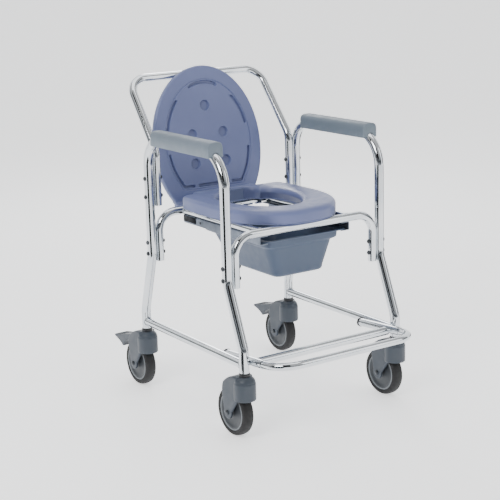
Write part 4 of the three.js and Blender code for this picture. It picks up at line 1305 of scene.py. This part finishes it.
@dataclass(frozen=True)
class Camera:
    """The photograph's camera, in the row's frame."""

    place: Point = (-1.8063, -2.6385, 1.1639)
    azimuth: float = -33.768
    elevation: float = 13.532
    roll: float = -1.513
    lens: float = 89.27
    sensor: float = 36.0

    def build(self) -> None:
        """Sets the scene's camera."""
        azimuth, elevation, roll = (math.radians(v) for v in (self.azimuth, self.elevation, self.roll))
        right = Vector((math.cos(azimuth), math.sin(azimuth), 0))
        forward = Vector((-math.sin(azimuth) * math.cos(elevation), math.cos(azimuth) * math.cos(elevation),
                          -math.sin(elevation)))
        up = right.cross(forward)
        axes = (right * math.cos(roll) + up * math.sin(roll),
                up * math.cos(roll) - right * math.sin(roll), -forward)
        data = bpy.data.cameras.new("photo_camera")
        data.lens, data.sensor_width = self.lens, self.sensor
        data.clip_start, data.clip_end = 0.05, 50
        camera = shown("photo_camera", data)
        camera.matrix_world = Matrix.Translation(self.place) @ Matrix(axes).transposed().to_4x4()
        bpy.context.scene.camera = camera


@dataclass(frozen=True)
class Lamp:
    """A rectangular soft light aimed at the seat."""

    name: str
    place: Point
    width: float
    height: float
    power: float

    def build(self) -> None:
        """Hangs the light."""
        data = bpy.data.lights.new(self.name, "AREA")
        data.shape = "RECTANGLE"
        data.size, data.size_y, data.energy = self.width, self.height, self.power
        aim = Vector((0, 0, 0.45)) - Vector(self.place)
        turn = aim.to_track_quat("-Z", "Y").to_matrix().to_4x4()
        shown(self.name, data).matrix_world = Matrix.Translation(self.place) @ turn


def ribbon(name: str, verts: Sequence[Point], chain: NodeChain) -> bpy.types.Object:
    """Makes a strip from pairs of points on its two edges, and sets it on the stage."""
    data = bpy.data.meshes.new(name)
    data.from_pydata(verts, [], [(i, i + 1, i + 3, i + 2) for i in range(0, len(verts) - 2, 2)])
    data.materials.append(chain.material)
    strip = shown(name, data)
    return strip


class Studio:
    """The pale sweep, the soft lights and the bright surroundings that chrome reflects."""

    CAMERA_SIDE = 236.0
    WORLD_STOPS = ((0.0, "d8dade"), (0.49, "b9bdc2"), (0.54, "3c4045"), (0.62, "c3c7cb"), (0.75, "ffffff"))
    LAMPS = (
        Lamp("key_softbox", (-2.7, -1.1, 2.5), 1.6, 1.4, 64),
        Lamp("fill_softbox", (1.9, -2.5, 1.5), 1.0, 2.4, 15),
        Lamp("top_softbox", (0.2, 0.4, 3.2), 2.6, 2.2, 32),
        Lamp("rear_strip", (1.4, 2.6, 1.9), 0.5, 2.0, 22),
    )

    def floor(self) -> None:
        """Lays the floor, turned to face the camera and curved up far behind the chair."""
        chain = NodeChain("studio_paper")
        paper = chain.blend(chain.span(chain.noise(0.8, 2), 0, 1), "f7f8f9", "f3f4f5")
        chain.shade(Base_Color=paper, Roughness=0.8, Specular_IOR_Level=0.15, Emission_Color=srgb("ffffff"),
                    Emission_Strength=0.9)
        line = [(-8, 0), (3, 0), *arc(3, -81, 0, 9, 3, 3), (6, 9)]
        sweep = ribbon("studio_sweep", [(x, y, z) for y, z in line for x in (-12, 12)], chain)
        sweep.data.shade_smooth()
        sweep.matrix_world = Matrix.Rotation(math.radians(Camera.azimuth), 4, "Z")

    def flag(self, name: str, colour: str, angles: tuple[float, float], rim: Profile) -> None:
        """Sets a dark card that only mirror-like surfaces see, for streaks in the chrome.

        Args:
            name: the card's name.
            colour: its colour.
            angles: where it starts and ends, in degrees round from the camera's side.
            rim: (distance, height) of its lower and upper edges.
        """
        chain = NodeChain(f"paper_{name}")
        chain.shade(Base_Color=srgb(colour), Roughness=1.0, Specular_IOR_Level=0.0)
        turns = arc(1, *(self.CAMERA_SIDE + angle for angle in angles), 16)
        card = ribbon(name, [(r * c, r * s, z) for c, s in turns for r, z in rim], chain)
        card.visible_camera = card.visible_diffuse = card.visible_shadow = card.visible_transmission = False

    def surroundings(self) -> None:
        """Sets a bright world, darker low down, so that tubes show a horizon."""
        world = bpy.data.worlds.new("studio_world")
        world.use_nodes = True
        tree = world.node_tree
        background = tree.nodes["Background"]
        place, split, height, ramp = (tree.nodes.new(f"ShaderNode{kind}")
                                      for kind in ("TexCoord", "SeparateXYZ", "MapRange", "ValToRGB"))
        height.inputs["From Min"].default_value = -1.0
        for start, output, end, socket in (
                (place, "Generated", split, "Vector"), (split, "Z", height, "Value"),
                (height, "Result", ramp, "Fac"), (ramp, "Color", background, "Color")):
            tree.links.new(start.outputs[output], end.inputs[socket])
        stops = ramp.color_ramp.elements
        while len(stops) < len(self.WORLD_STOPS):
            stops.new(0.5)
        for stop, (where, colour) in zip(stops, self.WORLD_STOPS):
            stop.position = where
            stop.color = srgb(colour)
        background.inputs["Strength"].default_value = 0.65
        bpy.context.scene.world = world

    def build(self) -> None:
        """Builds the floor, two cards on it, one standing behind the camera, the world and the lamps."""
        self.floor()
        on_floor = ((0.8, 0.002), (7.0, 0.002))
        self.flag("flag_floor_left", "26282b", (-50, -6), on_floor)
        self.flag("flag_floor_right", "3a3d40", (120, 150), on_floor)
        self.flag("flag_standing", "050506", (-62, 14), ((4.2, 1.35), (4.2, 6.5)))
        self.surroundings()
        for lamp in self.LAMPS:
            lamp.build()


# ---------------------------------------------------------------- the chair


def main() -> None:
    """Builds the chair's looks over its frame."""
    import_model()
    Camera().build()
    Studio().build()
    shop, at = Workshop(), Datum()
    for builder in (FrameTubes, Fasteners, Footrest, Seat, Lid, Pan, ArmPads, CastorKit):
        builder(shop, at).build()


if __name__ == "__main__":
    main()
